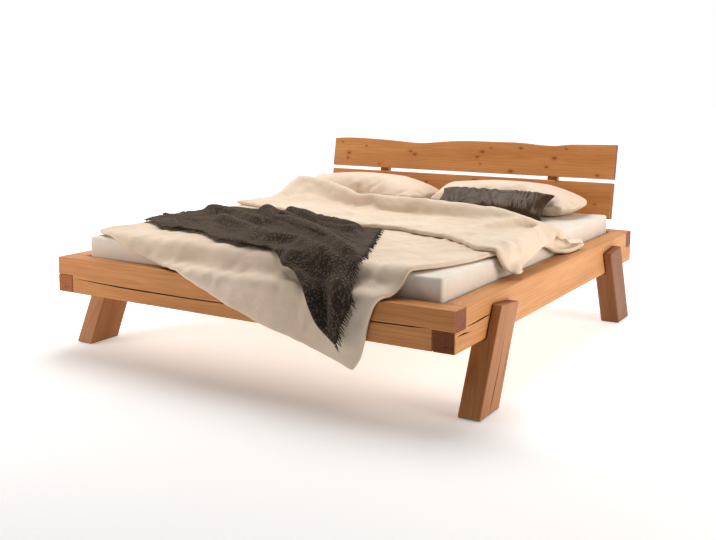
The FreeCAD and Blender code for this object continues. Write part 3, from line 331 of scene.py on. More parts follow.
@dataclass(frozen=True)
class ClothFinish:
    """Woven cotton: matt, with fine threads and soft creases."""

    name: str
    colour: str
    shade: str
    thread_mm: float = 3.0
    crease_mm: float = 60.0
    crease_depth: float = 0.5
    pull: float = 25.0
    roughness: float = 0.85
    sheen: float = 0.04

    def material(self) -> Material:
        """Build the node material.

        Returns:
            Cotton with a woven bump and a slight change of tone.
        """
        material, tree, shader = new_material(self.name)
        seat = add(tree, "TexCoord", out="Object")
        tone = add(tree, "TexNoise", {"Vector": seat, "Scale": 5.0, "Detail": 3.0})
        tone = add(tree, "MapRange", {"Value": tone, 1: 0.35, 2: 0.65})
        colour = add(tree, "Mix", {"Factor": tone, 6: linear(self.colour), 7: linear(self.shade)},
                     data_type="RGBA", out=2)
        # Threads are about 0.3 mm; they are drawn coarser so that the weave shows.
        pitch = 1 / (self.thread_mm * MM)
        threads = []
        for run in ((pitch, pitch * 0.12, pitch * 0.5), (pitch * 0.12, pitch, pitch * 0.5)):
            thin = add(tree, "VectorMath", {0: seat, 1: run}, operation="MULTIPLY")
            threads.append(add(tree, "TexNoise", {"Vector": thin, "Scale": 1.0, "Detail": 1.0}))
        weave = add(tree, "Math", {0: threads[0], 1: threads[1]}, operation="ADD")
        # Creases run along the pull of the cloth, six times as long as they are wide.
        drawn = add(tree, "Mapping", {
            "Vector": seat, "Rotation": (0.0, 0.0, math.radians(self.pull)),
            "Scale": (1.0, 6.0, 2.0),
        }, vector_type="TEXTURE")
        crease = add(tree, "TexNoise", {"Vector": drawn, "Scale": 1 / (self.crease_mm * MM),
                                        "Detail": 4.0, "Distortion": 0.6})
        fine = add(tree, "Math", {0: weave, 1: 0.3}, operation="MULTIPLY")
        height = add(tree, "Math", {0: crease, 1: self.crease_depth * 12, 2: fine},
                     operation="MULTIPLY_ADD")
        fleck = add(tree, "MapRange", {"Value": weave, 1: 0.7, 2: 1.3, 3: 0.98, 4: 1.02})
        colour = add(tree, "VectorMath", {0: colour, "Scale": fleck}, operation="SCALE")
        bump = add(tree, "Bump", {"Height": height, "Strength": 0.5, "Distance": 0.0016})
        plug(tree, shader, {"Base Color": colour, "Normal": bump, "IOR": 1.46,
                            "Roughness": self.roughness, "Sheen Weight": self.sheen})
        return material


@dataclass(frozen=True)
class KnitFinish:
    """Chunky wool knit: dark mottled yarn with loops."""

    name: str
    yarn: str = "#5A4C41"
    gap: str = "#2C241E"
    fleck: str = "#6F6156"
    fuzz: str = "#B59F8C"
    loop_mm: float = 8.0

    def material(self) -> Material:
        """Build the node material.

        Returns:
            Wool with loops that follow the sheet's own flat coordinates.
        """
        material, tree, shader = new_material(self.name)
        cut = add(tree, "UVMap", uv_map="flat")
        pitch = 1 / (self.loop_mm * MM)
        cells = add(tree, "TexVoronoi", {"Vector": add(
            tree, "VectorMath", {0: cut, 1: (pitch, pitch * 0.75, 1.0)},
            operation="MULTIPLY"), "Scale": 1.0, "Randomness": 0.8})
        loop = add(tree, "MapRange", {"Value": cells, 1: 0.1, 2: 0.62, 3: 1.0, 4: 0.0},
                   interpolation_type="SMOOTHSTEP")
        fuzz = add(tree, "TexNoise", {"Vector": cut, "Scale": 240.0, "Detail": 3.0})
        mottle = add(tree, "TexNoise", {"Vector": cut, "Scale": 130.0, "Detail": 3.0})
        mottle = add(tree, "MapRange", {"Value": mottle, 1: 0.42, 2: 0.7})
        yarn = add(tree, "Mix", {"Factor": mottle, 6: linear(self.yarn),
                                 7: linear(self.fleck)}, data_type="RGBA", out=2)
        # Painted shade: between the loops the colour falls to the dark gap colour, as the shade in
        # the hollows of the knit.
        colour = add(tree, "Mix", {"Factor": loop, 6: linear(self.gap), 7: yarn},
                     data_type="RGBA", out=2)
        height = add(tree, "Math", {0: fuzz, 1: 0.35, 2: loop}, operation="MULTIPLY_ADD")
        bump = add(tree, "Bump", {"Height": height, "Strength": 0.9, "Distance": 0.004})
        plug(tree, shader, {
            "Base Color": colour, "Normal": bump, "Roughness": 0.95,
            "Specular IOR Level": 0.15, "Sheen Weight": 0.36, "Sheen Tint": linear(self.fuzz),
        })
        return material


@dataclass(frozen=True)
class SatinFinish:
    """Polyester satin: smooth float threads, broad soft highlights."""

    name: str
    colour: str = "#513E30"
    shade: str = "#2B1F16"
    shine: str = "#E8D6C4"

    def material(self) -> Material:
        """Build the node material.

        Returns:
            Satin with gathers and a fine rib.
        """
        material, tree, shader = new_material(self.name)
        seat = add(tree, "TexCoord", out="Object")
        tone = add(tree, "TexNoise", {"Vector": seat, "Scale": 14.0, "Detail": 2.0})
        colour = add(tree, "Mix", {"Factor": tone, 6: linear(self.colour), 7: linear(self.shade)},
                     data_type="RGBA", out=2)
        # Ribs are about 0.5 mm; they are drawn at 2 mm so that they show.
        ribbed = add(tree, "VectorMath", {0: seat, 1: (500.0, 40.0, 40.0)}, operation="MULTIPLY")
        rib = add(tree, "TexNoise", {"Vector": ribbed, "Scale": 1.0})
        # Gathers are about 30 mm wide and 110 mm long.
        drawn = add(tree, "VectorMath", {0: seat, 1: (34.0, 9.0, 9.0)}, operation="MULTIPLY")
        fold = add(tree, "TexNoise", {"Vector": drawn, "Scale": 1.0, "Detail": 3.0,
                                      "Distortion": 0.8})
        height = add(tree, "Math", {0: fold, 1: 9.0, 2: rib}, operation="MULTIPLY_ADD")
        bump = add(tree, "Bump", {"Height": height, "Strength": 0.5, "Distance": 0.0012})
        plug(tree, shader, {
            "Base Color": colour, "Normal": bump, "Roughness": 0.2, "IOR": 1.5,
            "Specular IOR Level": 0.2, "Specular Tint": linear(self.shine),
        })
        return material


@dataclass(frozen=True)
class SteelFinish:
    """Steel, zinc-plated with a faint spangle, or lacquered where it isn't metallic."""

    name: str
    colour: str = "#B9BCC0"
    metallic: float = 1.0
    rough_low: float = 0.28
    rough_high: float = 0.45

    def material(self) -> Material:
        """Build the node material.

        Returns:
            Metal with an uneven gloss.
        """
        material, tree, shader = new_material(self.name)
        seat = add(tree, "TexCoord", out="Object")
        spangle = add(tree, "TexNoise", {"Vector": seat, "Scale": 320.0, "Detail": 2.0})
        rough = add(tree, "MapRange", {"Value": spangle, 1: 0.3, 2: 0.7, 3: self.rough_low,
                                       4: self.rough_high})
        tint = add(tree, "MapRange", {"Value": spangle, 1: 0.3, 2: 0.7, 3: 0.9, 4: 1.05})
        shade = add(tree, "VectorMath", {0: linear(self.colour)[:3], "Scale": tint},
                    operation="SCALE")
        plug(tree, shader, {"Base Color": shade, "Roughness": rough, "Metallic": self.metallic})
        return material


@dataclass(frozen=True)
class FeltFinish:
    """Pressed wool felt: matt, fuzzy and dark."""

    name: str
    colour: str = "#4A4642"

    def material(self) -> Material:
        """Build the node material.

        Returns:
            Felt with short fibres.
        """
        material, tree, shader = new_material(self.name)
        seat = add(tree, "TexCoord", out="Object")
        fuzz = add(tree, "TexNoise", {"Vector": seat, "Scale": 900.0, "Detail": 3.0})
        tint = add(tree, "MapRange", {"Value": fuzz, 1: 0.3, 2: 0.7, 3: 0.7, 4: 1.25})
        shade = add(tree, "VectorMath", {0: linear(self.colour)[:3], "Scale": tint},
                    operation="SCALE")
        bump = add(tree, "Bump", {"Height": fuzz, "Strength": 0.6, "Distance": 0.0008})
        plug(tree, shader, {"Base Color": shade, "Normal": bump, "Roughness": 1.0})
        return material


def dress(names: Sequence[str], finish: object) -> None:
    """Give CAD nodes a finish.

    Args:
        names: Names of the nodes.
        finish: Finish with a material method.
    """
    material = finish.material()
    for name in names:
        if name not in NODES:
            continue
        slots = NODES[name].data.materials
        slots.clear()
        slots.append(material)
        LOG.info("dressed %s in %s", name, material.name)


def keep(bm: BMesh, name: str) -> Object:
    """Turn a bmesh into a linked object at the origin.

    Args:
        bm: Mesh to keep; it is freed.
        name: Name of the piece.

    Returns:
        The new object.
    """
    mesh = bpy.data.meshes.new(name)
    bm.to_mesh(mesh)
    bm.free()
    mesh.shade_smooth()
    piece = bpy.data.objects.new(name, mesh)
    bpy.context.scene.collection.objects.link(piece)
    return piece


def steady(bm: BMesh) -> None:
    """Put the parts of a mesh in a fixed order, so that what is made of it repeats exactly.

    Args:
        bm: The mesh.
    """
    def rank(spot: Vector) -> float:
        """Place of a spot in the order."""
        return spot.x * 1e6 + spot.y * 1e3 + spot.z

    bm.verts.sort(key=lambda v: rank(v.co))
    bm.edges.sort(key=lambda e: rank((e.verts[0].co + e.verts[1].co) / 2))
    bm.faces.sort(key=lambda f: rank(f.calc_center_median()))


def sway(place: Vector) -> Vector:
    """Smooth wander in three directions, the same in every run.

    Args:
        place: Where it is asked for.

    Returns:
        The wander, each part within about -1 to 1.
    """
    steps = ((0, 0, 0), (31, 7, 13), (5, 43, 23))
    return Vector([noise.noise(place + Vector(step)) for step in steps])


def along(line: Plan, share: float) -> Vector:
    """Point at a share of a line's length.

    Args:
        line: Corners of the line.
        share: From 0 to 1.

    Returns:
        The point in plan.
    """
    points = [Vector(p) for p in line]
    runs = [(b - a).length for a, b in zip(points, points[1:])]
    left = share * sum(runs)
    for start, end, run in zip(points, points[1:], runs):
        if left <= run:
            return start.lerp(end, left / run)
        left -= run
    return points[-1]


@dataclass(frozen=True)
class Cut:
    """A four-sided piece of cloth, laid out flat: its near, far, left and right edges."""

    near: Plan
    far: Plan
    left: Plan
    right: Plan

    def spot(self, u: float, w: float) -> Vector:
        """Point of the cloth at a share across and a share from near to far.

        Args:
            u: Share from left to right.
            w: Share from near to far.

        Returns:
            The point in plan.
        """
        sides = along(self.near, u) * (1 - w) + along(self.far, u) * w
        sides += along(self.left, w) * (1 - u) + along(self.right, w) * u
        a, b = Vector(self.near[0]), Vector(self.near[-1])
        c, d = Vector(self.far[0]), Vector(self.far[-1])
        return sides - (a * (1 - u) + b * u) * (1 - w) - (c * (1 - u) + d * u) * w

    def cloth(self, columns: int, rows: int, height: float, ridge_mm: float = 4.0,
              ridge_turn: float = 0.0, ridge_run: Spot = (110.0, 110.0)) -> BMesh:
        """Lay the cloth out as a level grid with flat coordinates, slightly rucked.

        Args:
            columns: Faces across.
            rows: Faces from near to far.
            height: Level of the cloth.
            ridge_mm: Height of the rucks.
            ridge_turn: Direction of the rucks in degrees from the X axis.
            ridge_run: Length and spacing of the rucks in millimetres.

        Returns:
            The grid; its vertices run row by row.
        """
        bm = bmesh.new()
        bmesh.ops.create_grid(bm, x_segments=columns, y_segments=rows, size=0.5)
        bm.verts.sort(key=lambda v: (round((v.co.y + 0.5) * rows) * (columns + 1)
                                     + (v.co.x + 0.5) * columns))
        bm.verts.ensure_lookup_table()
        for vert in bm.verts:
            spot = self.spot(vert.co.x + 0.5, vert.co.y + 0.5)
            turned = spot.to_3d() @ Matrix.Rotation(math.radians(ridge_turn), 3, "Z")
            place = Vector((turned.x / (ridge_run[0] * MM),
                            turned.y / (ridge_run[1] * MM), height))
            place += sway(spot.to_3d() * 4) * 0.35
            rumple = (1 - abs(noise.noise(place)) * 2) * ridge_mm * MM
            vert.co = (spot.x, spot.y, height + rumple)
        layer = bm.loops.layers.uv.new("flat")
        for face in bm.faces:
            for loop in face.loops:
                loop[layer].uv = loop.vert.co.xy
        return bm


def hang(bm: BMesh, bend: float, crest: Spot, level: float) -> None:
    """Turn the part of a level cloth beyond the foot of the mattress down over the foot beam.

    Args:
        bm: Cloth laid out level.
        bend: Y of the foot edge of the mattress.
        crest: Y and Z where the cloth passes the outer edge of the beam.
        level: Level of the cloth.
    """
    slope = Vector((crest[0] - bend, crest[1] - level))
    for vert in bm.verts:
        past = bend - vert.co.y
        if past <= 0:
            continue
        ruck = vert.co.z - level
        if past < slope.length:
            spot = Vector((bend, level)) + slope * (past / slope.length)
        else:
            spot = Vector(crest) - Vector((0, past - slope.length))
        lean = min(past / slope.length, 1.0)
        vert.co.y = spot.x - ruck * lean
        vert.co.z = spot.y + ruck * (1 - lean)


@dataclass(frozen=True)
class Fall:
    """How a cloth falls: its weight, stiffness and spare size."""

    frames: int
    gap: float
    bending: float
    spare: float = 0.0
    damping: float = 2.0
    friction: float = 12.0
    pressure: float = 0.0
    gravity: float = 1.0
    stiffness: float = 40.0
    mass: float = 0.05


def settle(piece: Object, fall: Fall, obstacles: Sequence[Object] = (),
           pinned: Sequence[int] = ()) -> None:
    """Drop or inflate a cloth by simulation and keep the result as its mesh.

    Args:
        piece: Cloth to drop.
        fall: How it falls.
        obstacles: Objects that it falls on.
        pinned: Vertices that stay where they are.
    """
    scene = bpy.context.scene
    for obstacle in obstacles:
        obstacle.modifiers.new("collision", "COLLISION")
        obstacle.collision.thickness_outer = fall.gap
        obstacle.collision.thickness_inner = INNER_WALL
        obstacle.collision.cloth_friction = fall.friction
    if pinned:
        group = piece.vertex_groups.new(name="pinned")
        group.add(list(pinned), 1.0, "REPLACE")
    modifier = piece.modifiers.new("cloth", "CLOTH")
    settings = modifier.settings
    settings.quality = SOLVER_STEPS
    settings.mass = fall.mass
    settings.air_damping = fall.damping
    settings.tension_stiffness = fall.stiffness
    settings.compression_stiffness = fall.stiffness
    settings.shear_stiffness = fall.stiffness * SHEAR_SHARE
    settings.bending_stiffness = fall.bending
    settings.shrink_min = -fall.spare
    settings.effector_weights.gravity = fall.gravity
    if fall.pressure:
        settings.use_pressure = True
        settings.uniform_pressure_force = fall.pressure
    if pinned:
        settings.vertex_group_mass = "pinned"
    contact = modifier.collision_settings
    contact.use_collision = bool(obstacles)
    contact.collision_quality = CONTACT_STEPS
    contact.distance_min = max(fall.gap, LEAST_GAP)
    frames = fall.frames
    modifier.point_cache.frame_start = 1
    modifier.point_cache.frame_end = frames + 1
    for step in range(1, frames + 1):
        scene.frame_set(step)
    view = bpy.context.evaluated_depsgraph_get()
    made = bpy.data.meshes.new_from_object(piece.evaluated_get(view), depsgraph=view,
                                           preserve_all_data_layers=True)
    piece.modifiers.clear()
    piece.vertex_groups.clear()
    piece.data = made
    for obstacle in obstacles:
        obstacle.modifiers.remove(obstacle.modifiers["collision"])
    scene.frame_set(1)


def swell(piece: Object, rise: Callable[[Vector], float]) -> None:
    """Raise a draped cloth along its normals.

    Args:
        piece: The cloth.
        rise: Gives the height for a spot of the cloth laid out flat.
    """
    mesh = piece.data
    layer = mesh.uv_layers["flat"].data
    flat = {loop.vertex_index: layer[loop.index].uv.to_3d() for loop in mesh.loops}
    ways = [v.normal.copy() for v in mesh.vertices]
    for vert, way in zip(mesh.vertices, ways):
        if way.dot(vert.co - BED_HEART) < 0:
            way = -way
        vert.co += way * rise(flat[vert.index])


def ruck(piece: Object, depth_mm: float, run_mm: Spot, turn: float) -> None:
    """Raise long soft rucks on a draped cloth.

    Args:
        piece: The cloth.
        depth_mm: Height of the rucks.
        run_mm: Their length and spacing.
        turn: Their direction in degrees from the X axis.
    """
    spin = Matrix.Rotation(math.radians(-turn), 3, "Z")

    def rise(spot: Vector) -> float:
        """Height of the rucks at a spot."""
        place = spin @ spot
        place = Vector((place.x / (run_mm[0] * MM), place.y / (run_mm[1] * MM), depth_mm))
        place += sway(spot * 5) * 0.3
        return max(0.0, 1 - 2.4 * abs(noise.noise(place))) ** 1.5 * depth_mm * MM

    swell(piece, rise)


def box_mesh(low: Vector, high: Vector) -> BMesh:
    """Square-edged box between two corners.

    Args:
        low: Lowest corner.
        high: Highest corner.

    Returns:
        The box.
    """
    bm = bmesh.new()
    bmesh.ops.create_cube(bm, size=1.0)
    bmesh.ops.scale(bm, vec=high - low, verts=bm.verts)
    bmesh.ops.translate(bm, vec=(high + low) / 2, verts=bm.verts)
    return bm


def ease(bm: BMesh, edges: list[BMEdge], radius: float, segments: int) -> None:
    """Round edges of a mesh.

    Args:
        bm: The mesh.
        edges: Edges to round.
        radius: Radius in metres.
        segments: Faces round an edge.
    """
    bmesh.ops.bevel(bm, geom=edges, offset=radius, offset_type="OFFSET", affect="EDGES",
                    segments=segments, profile=0.5, material=-1)


def block(name: str, low: Vector, high: Vector, round_mm: float) -> Object:
    """Rounded box that cloth falls on.

    Args:
        name: Name of the object.
        low: Lowest corner.
        high: Highest corner.
        round_mm: Radius of the edges.

    Returns:
        The box.
    """
    bm = box_mesh(low, high)
    ease(bm, list(bm.edges), round_mm * MM, 3)
    steady(bm)
    return keep(bm, name)


def finish_piece(piece: Object, finish: object, slot: str, *nodes: str) -> None:
    """Dress a new piece, set it on the bed and let it stand for its CAD nodes.

    Args:
        piece: The piece.
        finish: Finish with a material method.
        slot: Material slot of the record; not used.
        nodes: CAD nodes that it stands for.
    """
    piece.data.materials.clear()
    piece.data.materials.append(finish.material())
    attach(piece, ROOT)
    if nodes:
        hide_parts(*nodes)
    LOG.info("built %s, %d faces", piece.name, len(piece.data.polygons))


def smooth(piece: Object) -> None:
    """Round off a soft piece with one level of subdivision."""
    soft = piece.modifiers.new("smooth", "SUBSURF")
    soft.levels = soft.render_levels = 1


def thicken(piece: Object, thickness: float) -> None:
    """Give a sheet its thickness and smooth it.

    Args:
        piece: The sheet.
        thickness: Thickness in metres, half on each side.
    """
    wall = piece.modifiers.new("thickness", "SOLIDIFY")
    wall.thickness = thickness
    wall.offset = 0.0
    wall.use_even_offset = False
    smooth(piece)


@dataclass
class Timber:
    """Finishes of the heavy frame, the headboard and the slatted base."""

    beam_end: float = 1.055
    beam_side: float = 0.958
    beam_middle: float = 0.36
    leg_side: float = 0.994
    toe: float = 0.965

    SIDE_TONE = {"early": "#D69C64", "late": "#B0713D", "heart": "#C5874F"}
    LEG_TONE_PAINTED_SHADE = {"early": "#B37E50", "late": "#8C552E", "heart": "#A36B40"}
    REAR_TONE_PAINTED_SHADE = {"early": "#8F5E39", "late": "#6B3F20", "heart": "#80502D"}
    SPRUCE_TONE = {"early": "#DDB27C", "late": "#B98751", "heart": "#CE9F68", "end": "#A9764A"}

    def build(self) -> None:
        """Dress every timber with its own grain."""
        for name, sign in (("foot_beam", 1), ("head_beam", -1)):
            pith = (0.3 * sign, sign * (0.012 - self.beam_end), self.beam_middle + 0.018)
            dress([name], WoodFinish("oiled_pine_" + name, Grain.ACROSS, pith))
        # Painted light and shade: the left side beam's end grain is painted lighter, as if lit,
        # and the right one's darker, as if in shade.
        for side, sign, end_with_painted_light in (("left", -1, "#A9602E"), ("right", 1, "#763914")):
            pith = (sign * self.beam_side, 0.2, self.beam_middle - 0.052)
            dress(["side_beam_" + side], WoodFinish("oiled_pine_side_" + side, Grain.ALONG, pith,
                                                    end=end_with_painted_light, **self.SIDE_TONE))
            for end, grain, way in (("front", Grain.FRONT_LEG, -1), ("rear", Grain.REAR_LEG, 1)):
                pith = (sign * (self.leg_side - 0.02), way * (self.toe - 0.09), 0.0)
                # Painted shade: the legs are painted darker than the beams, and the rear ones
                # darkest of all.
                tone = self.LEG_TONE_PAINTED_SHADE if end == "front" else self.REAR_TONE_PAINTED_SHADE
                dress(["leg_%s_%s" % (end, side)],
                      WoodFinish("oiled_pine_leg_%s_%s" % (end, side), grain, pith, **tone))
        self._headboard()
        slats = ["slat_%02d" % n for n in range(1, 16)]
        rails = ["ledger_left", "ledger_right", "centre_beam"]
        for kind, names, grain, pith in (
                ("slat", slats, Grain.ACROSS, (0.1, 0.02, 0.24)),
                ("rail", rails, Grain.ALONG, (0.03, 0.2, 0.22)),
                ("post", ["centre_leg"], Grain.UPRIGHT, (0.05, 0.06, 0.0))):
            dress(names, WoodFinish("planed_spruce_" + kind, grain, pith, checks=False,
                                    **self.SPRUCE_TONE))

    def _headboard(self) -> None:
        """Dress the two planks and their stiles."""
        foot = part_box("headboard_lower_plank")[0]
        upper = (
            (-0.838, 0.359), (-0.791, 0.259), (-0.787, 0.29), (-0.664, 0.339), (-0.351, 0.316),
            (-0.322, 0.299), (-0.561, 0.231), (0.09, 0.301), (0.119, 0.331), (0.172, 0.356),
            (0.353, 0.361), (0.555, 0.312), (0.62, 0.365), (0.513, 0.26), (0.304, 0.226),
            (0.112, 0.261), (0.806, 0.227),
        )
        lower = (
            (-0.8, 0.144), (-0.228, 0.132), (0.089, 0.159), (0.391, 0.167), (-0.506, 0.166),
            (0.581, 0.186), (0.805, 0.066),
        )
        for name, knots, pith_up in (("upper", upper, 0.31), ("lower", lower, 0.08)):
            seat = (0.0, foot.y + 0.09, foot.z + pith_up)
            shifted = tuple((x, up - pith_up) for x, up in knots)
            dress(["headboard_%s_plank" % name],
                  WoodFinish("oiled_pine_%s_plank" % name, Grain.PLANK, seat, knots=shifted,
                             wave_mm=34.0, checks=False))
        dress(["headboard_stile_left", "headboard_stile_right"],
              WoodFinish("oiled_pine_stile", Grain.STILE, (0.2, 1.1, 0.0), checks=False))


@dataclass
class Hardware:
    """Bolts, screws, hangers and glides."""

    def build(self) -> None:
        """Dress the steel and the felt."""
        steel = [name for name in NODES if "bolts" in name or "screws" in name
                 or name.startswith("centre_hanger") or name == "centre_leg_stud"]
        dress(sorted(steel), SteelFinish("zinc_plated_steel"))
        dress(["leg_brackets"], SteelFinish("black_lacquered_steel", "#1C1C1D", metallic=0.0,
                                            rough_low=0.35, rough_high=0.5))
        dress(["felt_glides"], FeltFinish("pressed_wool_felt"))


@dataclass
class Mattress:
    """Foam mattress in a fitted white cover, square-edged."""

    corner: float = 0.018
    roll: float = 0.014
    ripple_mm: float = 1.5

    CELLS = (60, 66, 6)

    def build(self) -> Object:
        """Model the mattress.

        Returns:
            The mattress.
        """
        low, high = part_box("mattress")
        bm = box_mesh(low, high)
        ease(bm, [e for e in bm.edges if abs(e.verts[0].co.z - e.verts[1].co.z) > 0.01],
             self.corner, 5)
        ease(bm, [e for e in bm.edges if e.is_manifold
                  and {abs(f.normal.z) > 0.5 for f in e.link_faces} == {True, False}],
             self.roll, 4)
        for axis, count in enumerate(self.CELLS):
            for step in range(1, count):
                cut = Vector((0, 0, 0))
                cut[axis] = low[axis] + (high[axis] - low[axis]) * step / count
                normal = Vector((0, 0, 0))
                normal[axis] = 1
                bmesh.ops.bisect_plane(bm, geom=list(bm.verts) + list(bm.edges) + list(bm.faces),
                                       plane_co=cut, plane_no=normal, dist=1e-5)
        for vert in bm.verts:
            ripple = noise.noise(vert.co * 7) * self.ripple_mm * MM
            if abs(vert.normal.z) < 0.5:
                vert.co -= vert.normal * (self.ripple_mm * MM - ripple)
            elif vert.normal.z > 0:
                vert.co.z += ripple - self.ripple_mm * MM
        steady(bm)
        piece = keep(bm, "mattress_cover")
        finish_piece(piece, ClothFinish("white_cotton_jersey", "#EAE3DA", "#E3DBD0", crease_mm=160,
                                        crease_depth=0.3), "mattress_cloth", "mattress")
        return piece


@dataclass
class Duvet:
    """Light duvet thrown askew over the bed: a corner over the foot, the head part turned back."""

    columns: int = 74
    rows: int = 70
    turned_rows: int = 30
    fold_rows: int = 4
    thickness: float = 0.022
    lay: float = 0.03
    turned_lay: float = 0.05
    fold_radius: float = 0.024
    fold_tuck: float = 0.004
    fold_way: Spot = (0.34, 0.94)
    fold_least: float = 0.25
    fold_ends: Spot = (7.0, 3.2)
    side: float = 0.925
    side_out: float = 0.3
    side_down: float = 0.95
    pull: float = 62.0
    gathers: int = 9
    gather_mm: float = 16.0
    gather_reach: float = 0.32

    HEAD = ((-0.885, 0.64), (-0.69, 0.60), (-0.21, 0.375), (0.237, 0.315), (0.60, 0.246),
            (0.78, 0.19), (0.88, 0.19), (0.93, 0.24), (0.98, 0.33), (1.02, 0.41))
    FOOT = ((-0.885, -0.93), (-0.72, -1.0), (-0.608, -1.04), (-0.468, -1.075), (-0.33, -1.12),
            (-0.172, -1.176), (-0.036, -1.231), (0.16, -1.292), (0.397, -1.346), (0.594, -1.41))
    LEFT = ((-0.885, -0.93), (-0.885, 0.64))
    RIGHT = ((0.594, -1.41), (0.633, -1.353), (0.646, -1.29), (0.654, -1.225), (0.675, -1.158),
             (0.729, -1.08), (0.755, -1.0), (0.78, -0.93), (0.811, -0.84), (0.86, -0.64),
             (0.89, -0.50), (0.895, -0.3), (0.9, -0.1), (0.95, 0.08), (1.0, 0.25), (1.02, 0.41))
    TURNED = ((-0.885, -0.02), (-0.6, -0.06), (-0.25, -0.19), (0.1, -0.285), (0.40, -0.31),
              (0.62, -0.36), (0.74, -0.45), (0.83, -0.55), (0.94, -0.57), (1.075, -0.485))
    TURNED_LEFT = ((-0.885, 0.64), (-0.885, -0.02))
    TURNED_RIGHT = ((1.02, 0.41), (1.025, 0.25), (1.02, 0.0), (1.02, -0.2), (1.03, -0.36),
                    (1.075, -0.485))

    def build(self, obstacles: Sequence[Object]) -> Object:
        """Drape the two layers and join them at the fold.

        Args:
            obstacles: What the duvet lies on.

        Returns:
            The duvet.
        """
        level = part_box("mattress")[1].z + self.lay
        cut = Cut(self.FOOT, self.HEAD, self.LEFT, self.RIGHT)
        lower = keep(cut.cloth(self.columns, self.rows, level, ridge_mm=7.0, ridge_turn=self.pull,
                               ridge_run=(500.0, 120.0)), "duvet_cover")
        settle(lower, Fall(frames=46, gap=0.006, bending=0.6, spare=0.012), obstacles)
        width = self.columns + 1
        head = [lower.data.vertices[self.rows * width + i].co.copy() for i in range(width)]
        turned = self._turned_layer(head, level + self.turned_lay)
        settle(turned, Fall(frames=40, gap=0.011, bending=0.6, spare=0.015), [*obstacles, lower],
               range(width))
        bm = bmesh.new()
        bm.from_mesh(lower.data)
        bm.from_mesh(turned.data)
        bmesh.ops.remove_doubles(bm, verts=bm.verts, dist=1e-4)
        bmesh.ops.recalc_face_normals(bm, faces=bm.faces)
        bpy.data.objects.remove(turned)
        bpy.data.objects.remove(lower)
        piece = keep(bm, "duvet_cover")
        ruck(piece, depth_mm=10.0, run_mm=(420.0, 76.0), turn=self.pull)
        thicken(piece, self.thickness)
        finish_piece(piece, ClothFinish("ecru_cotton_sateen", "#E6D4C1", "#DCC8B2", crease_mm=60,
                                        crease_depth=1.0, pull=self.pull),
                     "duvet_cloth", "duvet")
        return piece

    def _turned_layer(self, head: list[Vector], level: float) -> Object:
        """Lay out the part that is turned back, starting with the fold.

        Args:
            head: Head edge of the lower layer.
            level: Level of the turned layer.

        Returns:
            The layer, not yet draped.
        """
        cut = Cut(self.HEAD, self.TURNED, self.TURNED_LEFT, self.TURNED_RIGHT)
        bm = cut.cloth(self.columns, self.turned_rows, level, ridge_mm=7.0, ridge_turn=-15.0,
                       ridge_run=(400.0, 130.0))
        width = self.columns + 1
        bm.verts.ensure_lookup_table()
        for vert in bm.verts:
            # Gathers that run into the hanging corner.
            arm = vert.co.xy - Vector(self.TURNED[-1])
            near = max(0.0, 1 - arm.length / self.gather_reach)
            wave = math.sin(math.atan2(arm.y, arm.x) * self.gathers)
            vert.co.z += wave * self.gather_mm * MM * near
            # What reaches past the side of the mattress starts turned down.
            past = vert.co.x - self.side
            if past > 0:
                vert.co.x = self.side + self.side_out * past
                vert.co.z -= self.side_down * past
        for row in range(self.fold_rows + 1):
            turn = math.pi * row / self.fold_rows
            for column in range(width):
                # The fold is full over the mattress and flat where it runs out at the sides.
                ends = min(column / width * self.fold_ends[0],
                           (1 - column / width) * self.fold_ends[1])
                full = self.fold_least + (1 - self.fold_least) * min(1.0, ends)
                radius = self.fold_radius * full
                out = radius * math.sin(turn)
                up = radius * (1 - math.cos(turn))
                vert = bm.verts[row * width + column]
                back = out - (row / self.fold_rows) * self.fold_tuck
                across, ahead = self.fold_way
                vert.co = head[column] + Vector((across * back, ahead * back, up))
        return keep(bm, "duvet_turned")


